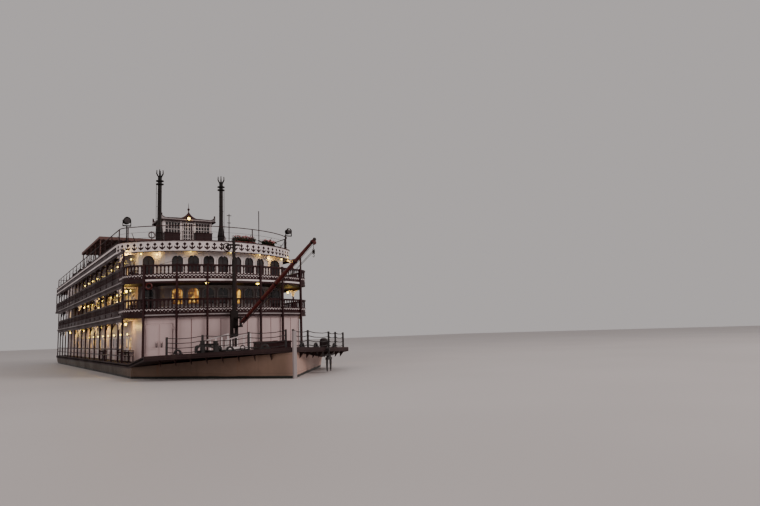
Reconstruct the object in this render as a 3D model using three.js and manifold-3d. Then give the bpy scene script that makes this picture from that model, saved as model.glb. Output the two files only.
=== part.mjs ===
// Stern-wheel paddle steamer, a scale model at 1:2.
// All sizes below are metres of the full-size ship, measured from the flat hull bottom: +X forward,
// +Y to port, +Z up. The outer group turns them into millimetres of the model.
import * as THREE from 'three';
import { mergeVertices } from 'three/addons/utils/BufferGeometryUtils.js';
import Module from 'manifold-3d';

const wasm = await Module();
wasm.setup();

// Driving dimensions
const MODEL_MM_PER_METRE = 500;
const GAP = 0.0008;                 // between pieces that rest on each other, 0.4 mm on the model
const RUNNING_GAP = 0.016;          // round doors and lids, 8 mm on the model
const HALF_LENGTH = 33.5;           // stem post to the after edge of the paddle wheel, halved
const HALF_BEAM = 7.5;              // at the edge of the main deck
const DRAUGHT = 1.2;
const WALL = 0.09;                  // panelled cabin wall
const DECK_THICK = 0.25;

// Heights above the hull bottom
const MAIN_DECK = 2.22;
const DECK_2 = 5.72;
const DECK_3 = 8.27;
const SUN_DECK = 11.42;
const FASCIA_FOOT = 10.7;
const FASCIA_TOP = 11.52;
const RAIL_HIGH = 1.05;
const EAVES = 15.05;

// Places along the ship
const STEM = 33.3;
const TRANSOM = -27.1;
const HOUSE_AFT = -25.0;
const OVERHANG_AFT = -30.5;         // after end of deck 3 and the sun deck, over the wheel
const SHEER_FROM = 22.0;
const DECK_SHOULDER = 26.9;         // where the deck edge turns in to the stem

// Small tools for shapes
const solid = (geometry) => {
  const bare = geometry.clone();
  bare.deleteAttribute('normal');
  bare.deleteAttribute('uv');
  const merged = mergeVertices(bare, 1e-5);
  const index = merged.index ? merged.index.array : merged.attributes.position.array.map((_, i) => i);
  return new wasm.Manifold(new wasm.Mesh({
    numProp: 3,
    vertProperties: Float32Array.from(merged.attributes.position.array),
    triVerts: Uint32Array.from(index),
  }));
};

const geometryOf = (body) => {
  const mesh = body.getMesh();
  const geometry = new THREE.BufferGeometry();
  geometry.setAttribute('position', new THREE.BufferAttribute(Float32Array.from(mesh.vertProperties), 3));
  geometry.setIndex(new THREE.BufferAttribute(Uint32Array.from(mesh.triVerts), 1));
  geometry.computeVertexNormals();
  return geometry;
};

const joined = (geometries) => geometries.map(solid).reduce((all, next) => all.add(next));
const less = (body, geometries) => geometries.map(solid).reduce((rest, next) => rest.subtract(next), body);

const box = (x0, x1, y0, y1, z0, z1) => new THREE.BoxGeometry(x1 - x0, y1 - y0, z1 - z0)
  .translate((x0 + x1) / 2, (y0 + y1) / 2, (z0 + z1) / 2);

const vector = (p) => new THREE.Vector3(...p);

// A round bar from one point to another
const bar = (from, to, radius, sides = 8, endRadius = radius) => {
  const a = vector(from);
  const along = vector(to).sub(a);
  const turn = new THREE.Quaternion().setFromUnitVectors(new THREE.Vector3(0, 1, 0), along.clone().normalize());
  return new THREE.CylinderGeometry(endRadius, radius, along.length(), sides)
    .applyQuaternion(turn).translate(...a.addScaledVector(along, 0.5).toArray());
};

// The hole for a turning bar: its flats face the bar's edges and stay just clear of them at every angle
const bore = (from, to, radius, sides = 8) => {
  const turned = bar([0, 0, 0], [0, 0, 1], (radius + GAP) / Math.cos(Math.PI / sides), sides)
    .rotateZ(Math.PI / sides);
  const a = vector(from);
  const along = vector(to).sub(a);
  const turn = new THREE.Quaternion().setFromUnitVectors(new THREE.Vector3(0, 0, 1), along.clone().normalize());
  return turned.scale(1, 1, along.length()).applyQuaternion(turn).translate(...a.toArray());
};

// A prism standing on a plan outline, from z0 up to z1, with holes as further outlines
const prism = (outline, z0, z1, holes = []) => {
  const shape = new THREE.Shape(outline.map(([x, y]) => new THREE.Vector2(x, y)));
  shape.holes = holes.map((hole) => new THREE.Path(hole.map(([x, y]) => new THREE.Vector2(x, y))));
  return new THREE.ExtrudeGeometry(shape, { depth: z1 - z0, bevelEnabled: false }).translate(0, 0, z0);
};

// A prism on a side-view outline of x and z, from y0 to y1, with holes as further outlines
const sidePrism = (outline, y0, y1, holes = []) => prism(outline, 0, y1 - y0, holes)
  .rotateX(Math.PI / 2).translate(0, y1, 0);

// A flat upright frame in a side plane, with rectangular openings given as [x0, x1, z0, z1]
const lattice = ([x0, x1], [y0, y1], [z0, z1], openings) => less(solid(box(x0, x1, y0, y1, z0, z1)),
  openings.map(([a, b, low, high]) => box(a, b, y0 - 1, y1 + 1, low, high)));

// A body through cross-sections along X, each a convex loop of [y, z] seen from ahead
const loftAlong = (sections) => {
  const count = sections[0].loop.length;
  const points = sections.flatMap(({ x, loop }) => loop.flatMap(([y, z]) => [x, y, z]));
  const faces = [];
  for (let s = 0; s + 1 < sections.length; s += 1) {
    for (let i = 0; i < count; i += 1) {
      const j = (i + 1) % count;
      const [a, b] = [s * count + i, s * count + j];
      faces.push(a, b, b + count, a, b + count, a + count);
    }
  }
  const last = (sections.length - 1) * count;
  for (let i = 1; i + 1 < count; i += 1) {
    faces.push(0, i + 1, i);
    faces.push(last, last + i, last + i + 1);
  }
  const geometry = new THREE.BufferGeometry();
  geometry.setAttribute('position', new THREE.BufferAttribute(Float32Array.from(points), 3));
  geometry.setIndex(faces);
  return geometry;
};

// Deck plans: straight sides, a fillet, and a front that is one wide arc
const UPPER_PLAN = { half: HALF_BEAM, front: 22.8, radius: 11.6, fillet: 2.2 };
const SUN_PLAN = { half: 7.42, front: 20.45, radius: 9.2, fillet: 2.0 };

const inset = (plan, by) => ({
  half: plan.half - by,
  front: plan.front - by,
  radius: plan.radius - by,
  fillet: plan.fillet - by,
});

// Where the fillet meets the side, and the angle at which it meets the wide arc
const filletOf = (plan) => {
  const y = plan.half - plan.fillet;
  const reach = plan.radius - plan.fillet;
  const fromCentre = Math.sqrt(reach * reach - y * y);
  return { x: plan.front - plan.radius + fromCentre, y, angle: Math.atan2(y, fromCentre) };
};

// The curved front of a plan, from the starboard side round to port
const frontCurve = (plan, filletSteps = 4, arcSteps = 12) => {
  const fillet = filletOf(plan);
  const corner = (side, t) => {
    const angle = Math.PI / 2 + (fillet.angle - Math.PI / 2) * t;
    return [fillet.x + plan.fillet * Math.cos(angle), side * (fillet.y + plan.fillet * Math.sin(angle))];
  };
  const points = [];
  for (let i = 0; i < filletSteps; i += 1) points.push(corner(-1, i / filletSteps));
  for (let i = 0; i <= arcSteps; i += 1) {
    const angle = fillet.angle * (2 * i / arcSteps - 1);
    points.push([plan.front - plan.radius + plan.radius * Math.cos(angle), plan.radius * Math.sin(angle)]);
  }
  for (let i = filletSteps - 1; i >= 0; i -= 1) points.push(corner(1, i / filletSteps));
  return points;
};

const deckPlan = (plan, aft) => [[aft, -plan.half], ...frontCurve(plan), [aft, plan.half]];

// A band that follows the curved front, between two insets of its plan
const frontBand = (plan, outer, inner, z0, z1) => prism(
  [...frontCurve(inset(plan, outer)), ...frontCurve(inset(plan, inner)).reverse()], z0, z1);

const arcX = (plan, y) => plan.front - plan.radius + Math.sqrt(plan.radius * plan.radius - y * y);

// Materials
const paint = (color, roughness = 0.6, metalness = 0) => new THREE.MeshStandardMaterial({
  color, roughness, metalness,
});
const HULL_CREAM = paint(0xcdb79a);
const DECK_MAROON = paint(0x4a2426, 0.7);
const WHITE = paint(0xe6dcd6);
const MAROON = paint(0x3d1c1f, 0.55);
const DARK_RED = paint(0x6d2423, 0.5);
const FUNNEL_BLACK = paint(0x1d1715, 0.5);
const AWNING_BROWN = paint(0x5a3029, 0.85);
const WHEEL_RED = paint(0x8c2a23, 0.6);
const STEEL = paint(0x3a3a3c, 0.5, 0.6);
const LAMP = paint(0x24211f, 0.4, 0.4);

const ship = new THREE.Group();
const add = (name, shape, material, place = ship) => {
  const geometry = shape.isBufferGeometry ? shape : geometryOf(shape);
  const mesh = new THREE.Mesh(geometry, material);
  mesh.name = name;
  place.add(mesh);
  return mesh;
};
const SIDES = [['starboard', -1], ['port', 1]];

// Main deck height with its sheer towards the bow
const SHEER_AT_SHOULDER = 0.58;
const SHEER_AT_STEM = 0.88;
const deckHeight = (x) => {
  if (x <= SHEER_FROM) return MAIN_DECK;
  if (x <= DECK_SHOULDER) return MAIN_DECK + SHEER_AT_SHOULDER * (x - SHEER_FROM) / (DECK_SHOULDER - SHEER_FROM);
  return MAIN_DECK + SHEER_AT_SHOULDER
    + (SHEER_AT_STEM - SHEER_AT_SHOULDER) * (x - DECK_SHOULDER) / (STEM - DECK_SHOULDER);
};

// Whatever stands on the sloping foredeck is cut off just above it
const onForedeck = (body) => less(body, [sidePrism([
  [SHEER_FROM - 4, 0], [STEM + 1, 0], [STEM + 1, deckHeight(STEM) + GAP], [STEM, deckHeight(STEM) + GAP],
  [DECK_SHOULDER, deckHeight(DECK_SHOULDER) + GAP], [SHEER_FROM, MAIN_DECK + GAP],
  [SHEER_FROM - 4, MAIN_DECK + GAP]], -HALF_BEAM - 1, HALF_BEAM + 1)]);
const STEM_HALF = 0.06;
const halfAt = (x, shoulder, half) => (x <= shoulder ? half
  : STEM_HALF + (half - STEM_HALF) * (STEM - x) / (STEM - shoulder));

// Rudders hang under the raked stern, ahead of the wheel, each on a stock that turns in the hull
const RUDDER = { x: -25.2, ys: [-3.6, 0, 3.6], names: ['starboard', 'middle', 'port'], stock: 0.1, stockTop: 1.15 };

// Hull: flat bottom, raked up under the stern, straight bow plates that rise plumb to a deck wider than them
const DECK_EDGE = 0.3;
const RAKE_FROM = -21.5;
const RAKE_HEIGHT = 1.4;
const hull = () => {
  const levels = [
    // shoulder, half width
    [20.5, 7.25],
    [22.4, 7.37],
    [22.6, 7.42],
  ];
  const stations = [TRANSOM, RAKE_FROM, 20.5, SHEER_FROM, 22.4, 22.6, STEM];
  const body = solid(loftAlong(stations.map((x) => {
    const keel = x < RAKE_FROM ? RAKE_HEIGHT : 0;
    const middle = x < RAKE_FROM ? RAKE_HEIGHT + 0.05 : DRAUGHT;
    const heights = [keel, middle, deckHeight(x) - DECK_EDGE - GAP];
    const port = levels.map(([shoulder, half], i) => [halfAt(x, shoulder, half), heights[i]]);
    return { x, loop: [...port.map(([y, z]) => [-y, z]).reverse(), ...port] };
  })));
  return less(body, RUDDER.ys.map((y) => bore([RUDDER.x, y, 0.5], [RUDDER.x, y, RUDDER.stockTop + GAP],
    RUDDER.stock, 10)));
};

const mainDeck = () => loftAlong([TRANSOM, SHEER_FROM, DECK_SHOULDER, STEM].map((x) => {
  const half = halfAt(x, DECK_SHOULDER, HALF_BEAM);
  const top = deckHeight(x);
  return { x, loop: [[half, top - DECK_EDGE], [half, top], [-half, top], [-half, top - DECK_EDGE]] };
}));

const STEM_POST_TOP = 4.1;
const STEM_POST_HALF = 0.1;
const stemPost = () => box(STEM + GAP, HALF_LENGTH, -STEM_POST_HALF, STEM_POST_HALF, DRAUGHT - 0.25, STEM_POST_TOP);

// Main-deck house. Its front wall stands in six flat bays between the seven front posts.
const POST_PITCH = 2.097;
const POST_COUNT = 7;
const POST_HALF = 0.07;
const HOUSE_HALF = 6.29;
const WALL_PLAN = inset(UPPER_PLAN, 0.16);
const postY = (i) => (i - (POST_COUNT - 1) / 2) * POST_PITCH;
const bayCorner = (i) => [arcX(WALL_PLAN, postY(i)), postY(i)];
const houseFront = (back) => Array.from({ length: POST_COUNT }, (_, i) => {
  const [x, y] = bayCorner(i);
  const angle = Math.atan2(y, x - (WALL_PLAN.front - WALL_PLAN.radius));
  return [x - back * Math.cos(angle), y - back * Math.sin(angle)];
});
const mainHouseTop = DECK_2 - DECK_THICK - GAP;

// The fore doors fill the starboard bay. A door frame keeps this much wall at each post.
const DOOR_JAMB = 0.22;
const DOOR_HIGH = 2.62;
const DOOR_THICK = 0.07;
const DOOR_SILL = 0.16;             // clears the rise of the foredeck as the doors swing out
const doorBay = () => {
  const [a, b] = [vector([...bayCorner(0), 0]), vector([...bayCorner(1), 0])];
  const along = b.clone().sub(a);
  const width = along.length();
  along.normalize();
  return { a, along, width, angle: Math.atan2(along.y, along.x) };
};
// A box in the frame of the door bay: along the wall, out of the wall, up
const bayBox = (s0, s1, n0, n1, z0, z1) => {
  const { a, angle } = doorBay();
  return box(s0, s1, -n1, -n0, z0, z1).rotateZ(angle).translate(a.x, a.y, 0);
};

// Hinges: a knuckle on the leaf turns on a knuckle that an arm holds out from the jamb
const HINGE = { radius: 0.03, out: 0.095, high: 0.12, arm: 0.12 };
const DOOR_HINGES = [MAIN_DECK + 0.55, MAIN_DECK + 2.5];
const bayHinge = (s, z0, z1, armSide, onLeaf = false) => {
  const { a, angle } = doorBay();
  const knuckle = bar([s, -HINGE.out, z0], [s, -HINGE.out, z1], HINGE.radius, 8).rotateZ(angle).translate(a.x, a.y, 0);
  const far = s + armSide * HINGE.arm;
  if (onLeaf) return joined([knuckle, bayBox(Math.min(s, far), Math.max(s, far), 0.05, HINGE.out + 0.01, z0, z1)]);
  return joined([knuckle, bayBox(Math.min(s, far), Math.max(s, far), HINGE.out - 0.02, HINGE.out + 0.015, z0, z1),
    bayBox(Math.min(far, far - armSide * 0.05), Math.max(far, far - armSide * 0.05), -0.04, HINGE.out, z0, z1)]);
};

const mainHouse = () => {
  const foot = MAIN_DECK + GAP;
  const outer = [[HOUSE_AFT, -HOUSE_HALF], ...houseFront(0), [HOUSE_AFT, HOUSE_HALF]];
  const inner = [[HOUSE_AFT + WALL, -HOUSE_HALF + WALL], ...houseFront(WALL).map(([x, y], i, all) => {
    if (i === 0) return [x, -HOUSE_HALF + WALL];
    return i === all.length - 1 ? [x, HOUSE_HALF - WALL] : [x, y];
  }), [HOUSE_AFT + WALL, HOUSE_HALF - WALL]];
  const { width } = doorBay();
  const aftDoorHalf = 0.9;
  const walls = prism(outer, foot, mainHouseTop, [inner]);
  const hinges = [DOOR_JAMB, width - DOOR_JAMB].flatMap((s, i) => DOOR_HINGES.map((z) => bayHinge(
    s + (i ? -1 : 1) * RUNNING_GAP, z - HINGE.high, z - GAP, i ? 1 : -1)));
  return onForedeck(less(solid(walls), [
    bayBox(DOOR_JAMB, width - DOOR_JAMB, -1, 1.2, MAIN_DECK + DOOR_SILL, MAIN_DECK + DOOR_SILL + DOOR_HIGH),
    box(HOUSE_AFT - 1, HOUSE_AFT + 1, -aftDoorHalf, aftDoorHalf, MAIN_DECK + 0.1, MAIN_DECK + 2.3),
  ]).add(hinges.reduce((all, next) => all.add(next))));
};

const foreDoor = (leaf) => {
  const { width } = doorBay();
  const middle = width / 2;
  const z0 = MAIN_DECK + DOOR_SILL + RUNNING_GAP;
  const z1 = MAIN_DECK + DOOR_SILL + DOOR_HIGH - RUNNING_GAP;
  const [s0, s1] = leaf === 'outer'
    ? [DOOR_JAMB + RUNNING_GAP, middle - RUNNING_GAP / 2]
    : [middle + RUNNING_GAP / 2, width - DOOR_JAMB - RUNNING_GAP];
  const handle = leaf === 'outer' ? s1 - 0.16 : s0 + 0.16;
  const out = -0.01;
  const leafBody = joined([
    bayBox(s0, s1, out, out + DOOR_THICK, z0, z1),
    bayBox(handle - 0.03, handle + 0.03, out + DOOR_THICK - 0.01, out + DOOR_THICK + 0.08, z0 + 0.95, z0 + 1.35),
  ]);
  const [hinge, inward] = leaf === 'outer' ? [s0, 1] : [s1, -1];
  return DOOR_HINGES.reduce((all, z) => all.add(bayHinge(hinge, z, z + HINGE.high, inward, true)), leafBody);
};

const ENGINE = { x0: -21, x1: -13, half: 1.8, high: 2.4 };

// Houses on decks 2 and 3: a bowed middle front between two recesses, then side walls.
// Near the stern both swell to a wide part that takes up the side walks.
const BOW_HALF = 4.6;
const RECESS_X = 17.9;
const UPPER_HOUSE_HALF = 6.1;
const HOUSE_PLAN = { half: BOW_HALF, front: 19.95, radius: 8.8, fillet: 1.2 };
const WIDE_PART = { fore: -12.3, aft: -18.2, half: 7.25 };
const WIDE_BAYS = [4, 5];             // bays of the deck 3 gallery, from aft, that the wide part closes
const houseOutline = (by) => {
  const half = UPPER_HOUSE_HALF - by;
  const bow = frontCurve(inset(HOUSE_PLAN, by), 3, 8);
  const side = (s) => {
    const wide = s * (WIDE_PART.half - by);
    return [[RECESS_X - by, s * (BOW_HALF - by)], [RECESS_X - by, s * half], [WIDE_PART.fore - by, s * half],
      [WIDE_PART.fore - by, wide], [WIDE_PART.aft + by, wide], [WIDE_PART.aft + by, s * half],
      [HOUSE_AFT + by, s * half]];
  };
  return [...side(-1).reverse(), ...bow, ...side(1)];
};

// Openings in the two upper fronts: an arched light has a square foot and a head with round corners
const archedHole = (width, sill, spring, corner, depth) => {
  const shape = new THREE.Shape();
  shape.moveTo(-width / 2, sill);
  shape.lineTo(width / 2, sill);
  shape.lineTo(width / 2, spring);
  shape.absarc(width / 2 - corner, spring, corner, 0, Math.PI / 2);
  shape.absarc(corner - width / 2, spring, corner, Math.PI / 2, Math.PI);
  return new THREE.ExtrudeGeometry(shape, { depth, bevelEnabled: false, curveSegments: 3 })
    .translate(0, 0, -depth / 2).rotateX(Math.PI / 2).rotateZ(Math.PI / 2);
};
const WINDOW = { pitch: 1.15, wide: 0.86, sill: 0.8, spring: 1.76, corner: 0.36 };
const RECESS_DOOR = { y: 5.35, wide: 0.9, sill: 0.1, spring: 1.75, corner: 0.44 };
const upperHouse = (floor, ceiling) => {
  const z0 = floor + GAP;
  const z1 = ceiling - GAP;
  const walls = prism(houseOutline(0), z0, z1, [houseOutline(WALL)]);
  const centre = HOUSE_PLAN.front - HOUSE_PLAN.radius;
  const holes = [];
  for (let i = -3; i <= 3; i += 1) {
    const y = i * WINDOW.pitch;
    const turn = Math.atan2(y, arcX(HOUSE_PLAN, y) - centre);
    holes.push(archedHole(WINDOW.wide, floor + WINDOW.sill, floor + WINDOW.spring, WINDOW.corner, 1)
      .rotateZ(turn).translate(centre + HOUSE_PLAN.radius * Math.cos(turn), HOUSE_PLAN.radius * Math.sin(turn), 0));
  }
  for (const side of [-1, 1]) {
    holes.push(archedHole(RECESS_DOOR.wide, floor + RECESS_DOOR.sill, floor + RECESS_DOOR.spring,
      RECESS_DOOR.corner, 1).translate(RECESS_X, side * RECESS_DOOR.y, 0));
  }
  holes.push(box(HOUSE_AFT - 1, HOUSE_AFT + 1, -0.8, 0.8, floor + 0.1, floor + 2.0));
  return less(solid(walls), holes);
};

// Galleries along the sides: posts under a header, with rails between them.
// Each is one flat frame, cut by openings over the hand rail and between the rails under it.
const GALLERY_FORE = 17.2;
const GALLERY_PITCH = 2.95;
const GALLERY_Y = HALF_BEAM - 0.12;
const GALLERY_HALF_THICK = 0.06;
const HEADER = 0.22;
const RAIL_DEPTH = 0.09;
const MAIN_BARS = [[0.5, 0.56]];      // foot and head of each rail under the hand rail, above the deck
const UPPER_BARS = [[0, 0.08], [0.36, 0.42]];
const bays = (aft) => Math.floor((GALLERY_FORE - aft - 1) / GALLERY_PITCH);
const underRail = (from, to, floor, bars, head) => {
  const feet = [...bars.map(([foot]) => foot), head];
  const heads = [-1, ...bars.map(([, barHead]) => barHead)];
  return feet.flatMap((foot, i) => (foot > 0 ? [[from, to, floor + heads[i], floor + foot]] : []));
};
const gallery = ({ floor, ceiling, aft, side, bars, open = [] }) => {
  const z0 = floor + GAP;
  const z1 = ceiling - GAP;
  const fore = filletOf(UPPER_PLAN).x - 0.01;
  const wide = 2 * GALLERY_HALF_THICK;
  const posts = [aft];
  for (let x = GALLERY_FORE - bays(aft) * GALLERY_PITCH; x < fore - wide; x += GALLERY_PITCH) posts.push(x);
  posts.push(fore - wide);
  const openings = [];
  for (let i = 0; i + 1 < posts.length; i += 1) {
    const [from, to] = [posts[i] + wide, posts[i + 1]];
    if (open.includes(i)) {
      openings.push([from, to, z0 - 1, z1 - HEADER]);
    } else {
      openings.push([from, to, z0 + RAIL_HIGH, z1 - HEADER], ...underRail(from, to, z0, bars, RAIL_HIGH - RAIL_DEPTH));
    }
  }
  const shape = lattice([aft, fore], [GALLERY_Y - GALLERY_HALF_THICK, GALLERY_Y + GALLERY_HALF_THICK], [z0, z1],
    openings);
  return side > 0 ? shape : shape.mirror([0, 1, 0]);
};

// Railings across the after ends of decks 2 and 3, and of the sun deck
const AFT_BAYS = 6;
const aftRail = (x, half, floor, thick, high, depth, bars) => {
  const z0 = floor + GAP;
  const step = (2 * half - thick) / AFT_BAYS;
  const openings = Array.from({ length: AFT_BAYS }, (_, i) => {
    const from = -half + thick + step * i;
    return underRail(from, from + step - thick, z0, bars, high - depth);
  }).flat();
  return lattice([-half, half], [-thick / 2, thick / 2], [z0, z0 + high], openings).rotate([0, 0, 90])
    .translate([x, 0, 0]);
};

// Stern stairs: open treads between two strings, each flight through a well in the deck over it
const STAIR = { steps: 11, thick: 0.05, string: 0.06, wide: 0.9 };
const STAIR_2 = { x: -26.2, foot: -2.4, head: -5.1 };
const STAIR_3 = { y: 3.6, foot: -29.3, head: -26.2 };
const flight = (run, rise) => {
  const [tread, riser] = [run / STAIR.steps, rise / STAIR.steps];
  const half = STAIR.wide / 2;
  const string = (y) => sidePrism([[0, 0], [0.3, 0], [run, rise - 0.3], [run, rise - 0.02], [run - 0.12, rise - 0.02],
    [0, 0.28]], y, y + STAIR.string);
  const treads = Array.from({ length: STAIR.steps - 1 }, (_, i) => {
    const top = riser * (i + 1);
    return box(tread * i + 0.06, tread * (i + 1) + 0.1, -half + 0.02, half - 0.02, top - STAIR.thick, top);
  });
  return joined([string(-half), string(half - STAIR.string), ...treads]);
};
const stairTwo = () => flight(STAIR_2.foot - STAIR_2.head, DECK_3 - DECK_2 - DECK_THICK - GAP)
  .rotate([0, 0, -90]).translate([STAIR_2.x, STAIR_2.foot, DECK_2 + GAP]);
const stairThree = () => flight(STAIR_3.head - STAIR_3.foot, SUN_DECK - DECK_3 - DECK_THICK - GAP)
  .translate([STAIR_3.foot, STAIR_3.y, DECK_3 + GAP]);
const wellOf = (x0, x1, y0, y1) => [[x0, y0], [x1, y0], [x1, y1], [x0, y1]];
const wellTwo = wellOf(STAIR_2.x - 0.5, STAIR_2.x + 0.5, STAIR_2.head, STAIR_2.foot - 1.0);
const wellThree = wellOf(STAIR_3.foot + 1.0, STAIR_3.head, STAIR_3.y - 0.5, STAIR_3.y + 0.5);

// Front posts with the front railings of decks 2 and 3 between and behind them
const FRONT_POST_TOP = DECK_3 + RAIL_HIGH + 0.1;
const frontFrame = () => {
  const pieces = [];
  for (let i = 0; i < POST_COUNT; i += 1) {
    const [r, angle] = [UPPER_PLAN.radius, Math.asin(postY(i) / UPPER_PLAN.radius)];
    const foot = deckHeight(arcX(UPPER_PLAN, postY(i)) + 4 * POST_HALF) + GAP;
    pieces.push(box(r + 0.004, r + 2 * POST_HALF, -POST_HALF, POST_HALF, foot, FRONT_POST_TOP)
      .rotateZ(angle).translate(UPPER_PLAN.front - r, 0, 0));
  }
  for (const floor of [DECK_2, DECK_3]) {
    const z = floor + GAP;
    pieces.push(frontBand(UPPER_PLAN, -0.04, 0.1, z + RAIL_HIGH - 0.08, z + RAIL_HIGH));
    for (const [foot, head] of UPPER_BARS) pieces.push(frontBand(UPPER_PLAN, -0.03, 0.05, z + foot, z + head));
  }
  return joined(pieces);
};

// Sun deck, its fascia, and the pipe rail round it
const FASCIA_THICK = 0.1;
const sunFascia = () => {
  const outer = deckPlan(SUN_PLAN, OVERHANG_AFT);
  const inner = deckPlan(inset(SUN_PLAN, FASCIA_THICK), OVERHANG_AFT + FASCIA_THICK);
  return prism(outer, FASCIA_FOOT, FASCIA_TOP, [inner]);
};
const SUN_RAIL_TOP = 12.78;
const RAIL_INSET = 0.2;
const SUN_RAIL_PIPE = 0.06;
const SUN_RAIL_BAYS = 14;
const sunRailSide = (side) => {
  const y = SUN_PLAN.half - RAIL_INSET;
  const from = OVERHANG_AFT + RAIL_INSET;
  const to = filletOf(SUN_PLAN).x - 0.1;
  const z0 = SUN_DECK + GAP;
  const step = (to - from - SUN_RAIL_PIPE) / SUN_RAIL_BAYS;
  const openings = [];
  for (let i = 0; i < SUN_RAIL_BAYS; i += 1) {
    const [a, b] = [from + SUN_RAIL_PIPE + step * i, from + step * (i + 1)];
    openings.push([a, b, z0 - 1, SUN_RAIL_TOP - SUN_RAIL_PIPE]);
  }
  const shape = lattice([from, to], [y - SUN_RAIL_PIPE / 2, y + SUN_RAIL_PIPE / 2], [z0, SUN_RAIL_TOP], openings);
  return side > 0 ? shape : shape.mirror([0, 1, 0]);
};
const sunRailFront = () => {
  const line = inset(SUN_PLAN, RAIL_INSET);
  const half = SUN_RAIL_PIPE / 2;
  const pieces = [frontBand(line, -half, half, SUN_RAIL_TOP - SUN_RAIL_PIPE, SUN_RAIL_TOP)];
  const curve = frontCurve(line);
  curve.forEach(([x, y], i) => {
    if (i % 4 === 0) pieces.push(box(x - 0.035, x + 0.035, y - 0.035, y + 0.035, SUN_DECK + GAP, SUN_RAIL_TOP - half));
  });
  return joined(pieces);
};

// Pilothouse with windows all round, a door in the middle of its front, and a roof with swept eaves
const PILOT = { front: 9.6, aft: 6.8, half: 2.28, doorHalf: 0.5, hingeX: 9.695, sill: 12.57 };
const PILOT_HEAD = EAVES - 0.2;
const PILOT_HINGES = [SUN_DECK + 0.5, EAVES - 0.9];
const pilothouse = () => {
  const z0 = SUN_DECK + GAP;
  const z1 = EAVES - GAP;
  const walls = prism([[PILOT.aft, -PILOT.half], [PILOT.front, -PILOT.half], [PILOT.front, PILOT.half],
    [PILOT.aft, PILOT.half]], z0, z1, [[[PILOT.aft + WALL, -PILOT.half + WALL],
    [PILOT.front - WALL, -PILOT.half + WALL], [PILOT.front - WALL, PILOT.half - WALL],
    [PILOT.aft + WALL, PILOT.half - WALL]]]);
  const [sill, head] = [PILOT.sill, PILOT_HEAD];
  const sideWindow = { x: 8.2, half: 0.85 };
  const holes = [];
  for (const side of [-1, 1]) {
    const [near, far] = [PILOT.doorHalf + 0.25, PILOT.half - 0.2];
    holes.push(box(PILOT.front - 1, PILOT.front + 1, Math.min(side * near, side * far),
      Math.max(side * near, side * far), sill, head));
    holes.push(box(sideWindow.x - sideWindow.half, sideWindow.x + sideWindow.half, side * PILOT.half - 0.5,
      side * PILOT.half + 0.5, sill, head));
  }
  holes.push(box(PILOT.front - 1, PILOT.front + 1, -PILOT.doorHalf, PILOT.doorHalf, z0 + 0.08, head));
  holes.push(box(PILOT.aft - 1, PILOT.aft + 1, -1.4, 1.4, sill, head));
  const y = -PILOT.doorHalf + RUNNING_GAP;
  const hinges = PILOT_HINGES.flatMap((z) => [
    bar([PILOT.hingeX, y, z - HINGE.high], [PILOT.hingeX, y, z - GAP], HINGE.radius, 8),
    box(PILOT.front - 0.04, PILOT.hingeX + 0.015, y - HINGE.arm, y - HINGE.arm + 0.05, z - HINGE.high, z - GAP),
    box(PILOT.hingeX - 0.02, PILOT.hingeX + 0.015, y - HINGE.arm, y, z - HINGE.high, z - GAP),
  ]);
  return less(solid(walls), holes).add(joined(hinges.slice(0, 3))).add(joined(hinges.slice(3)));
};
const pilothouseDoor = () => {
  const half = PILOT.doorHalf - RUNNING_GAP;
  const z0 = SUN_DECK + 0.08 + 0.02;
  const z1 = PILOT_HEAD - RUNNING_GAP;
  const x1 = PILOT.front + 0.06;
  const leaf = less(solid(box(x1 - 0.06, x1, -half, half, z0, z1)), [
    box(x1 - 1, x1 + 1, -half + 0.12, half - 0.12, z0 + 1.05, z1 - 0.15)]);
  return PILOT_HINGES.reduce((all, z) => all.add(joined([
    bar([PILOT.hingeX, -half, z], [PILOT.hingeX, -half, z + HINGE.high], HINGE.radius, 8),
    box(x1 - 0.01, PILOT.hingeX + 0.01, -half, -half + 0.1, z, z + HINGE.high)])), leaf);
};
// Roof: a low hip behind an eave board on each side. The boards sweep up to tips at the corners, and the
// front one rises to a gable in the middle, with a ball and a spike on it.
const ROOF = { over: 0.3, slab: 0.15, hip: 0.5, board: 0.14, tip: 0.59, sweep: 0.75 };
const GABLE = { half: 1.05, high: 0.84, ball: 1.07, spike: 1.7 };
const eaveBoard = (half, gable) => {
  const shape = new THREE.Shape();
  shape.moveTo(-half, 0);
  shape.lineTo(half, 0);
  shape.lineTo(half, ROOF.tip);
  shape.quadraticCurveTo(half - 0.12, ROOF.slab + 0.04, half - ROOF.sweep, ROOF.slab);
  if (gable) {
    shape.lineTo(GABLE.half, ROOF.slab);
    shape.quadraticCurveTo(0.34, ROOF.slab + 0.07, 0, GABLE.high);
    shape.quadraticCurveTo(-0.34, ROOF.slab + 0.07, -GABLE.half, ROOF.slab);
  }
  shape.lineTo(ROOF.sweep - half, ROOF.slab);
  shape.quadraticCurveTo(0.12 - half, ROOF.slab + 0.04, -half, ROOF.tip);
  return new THREE.ExtrudeGeometry(shape, { depth: ROOF.board, bevelEnabled: false, curveSegments: 5 })
    .rotateX(Math.PI / 2).translate(0, ROOF.board / 2, EAVES);
};
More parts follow.
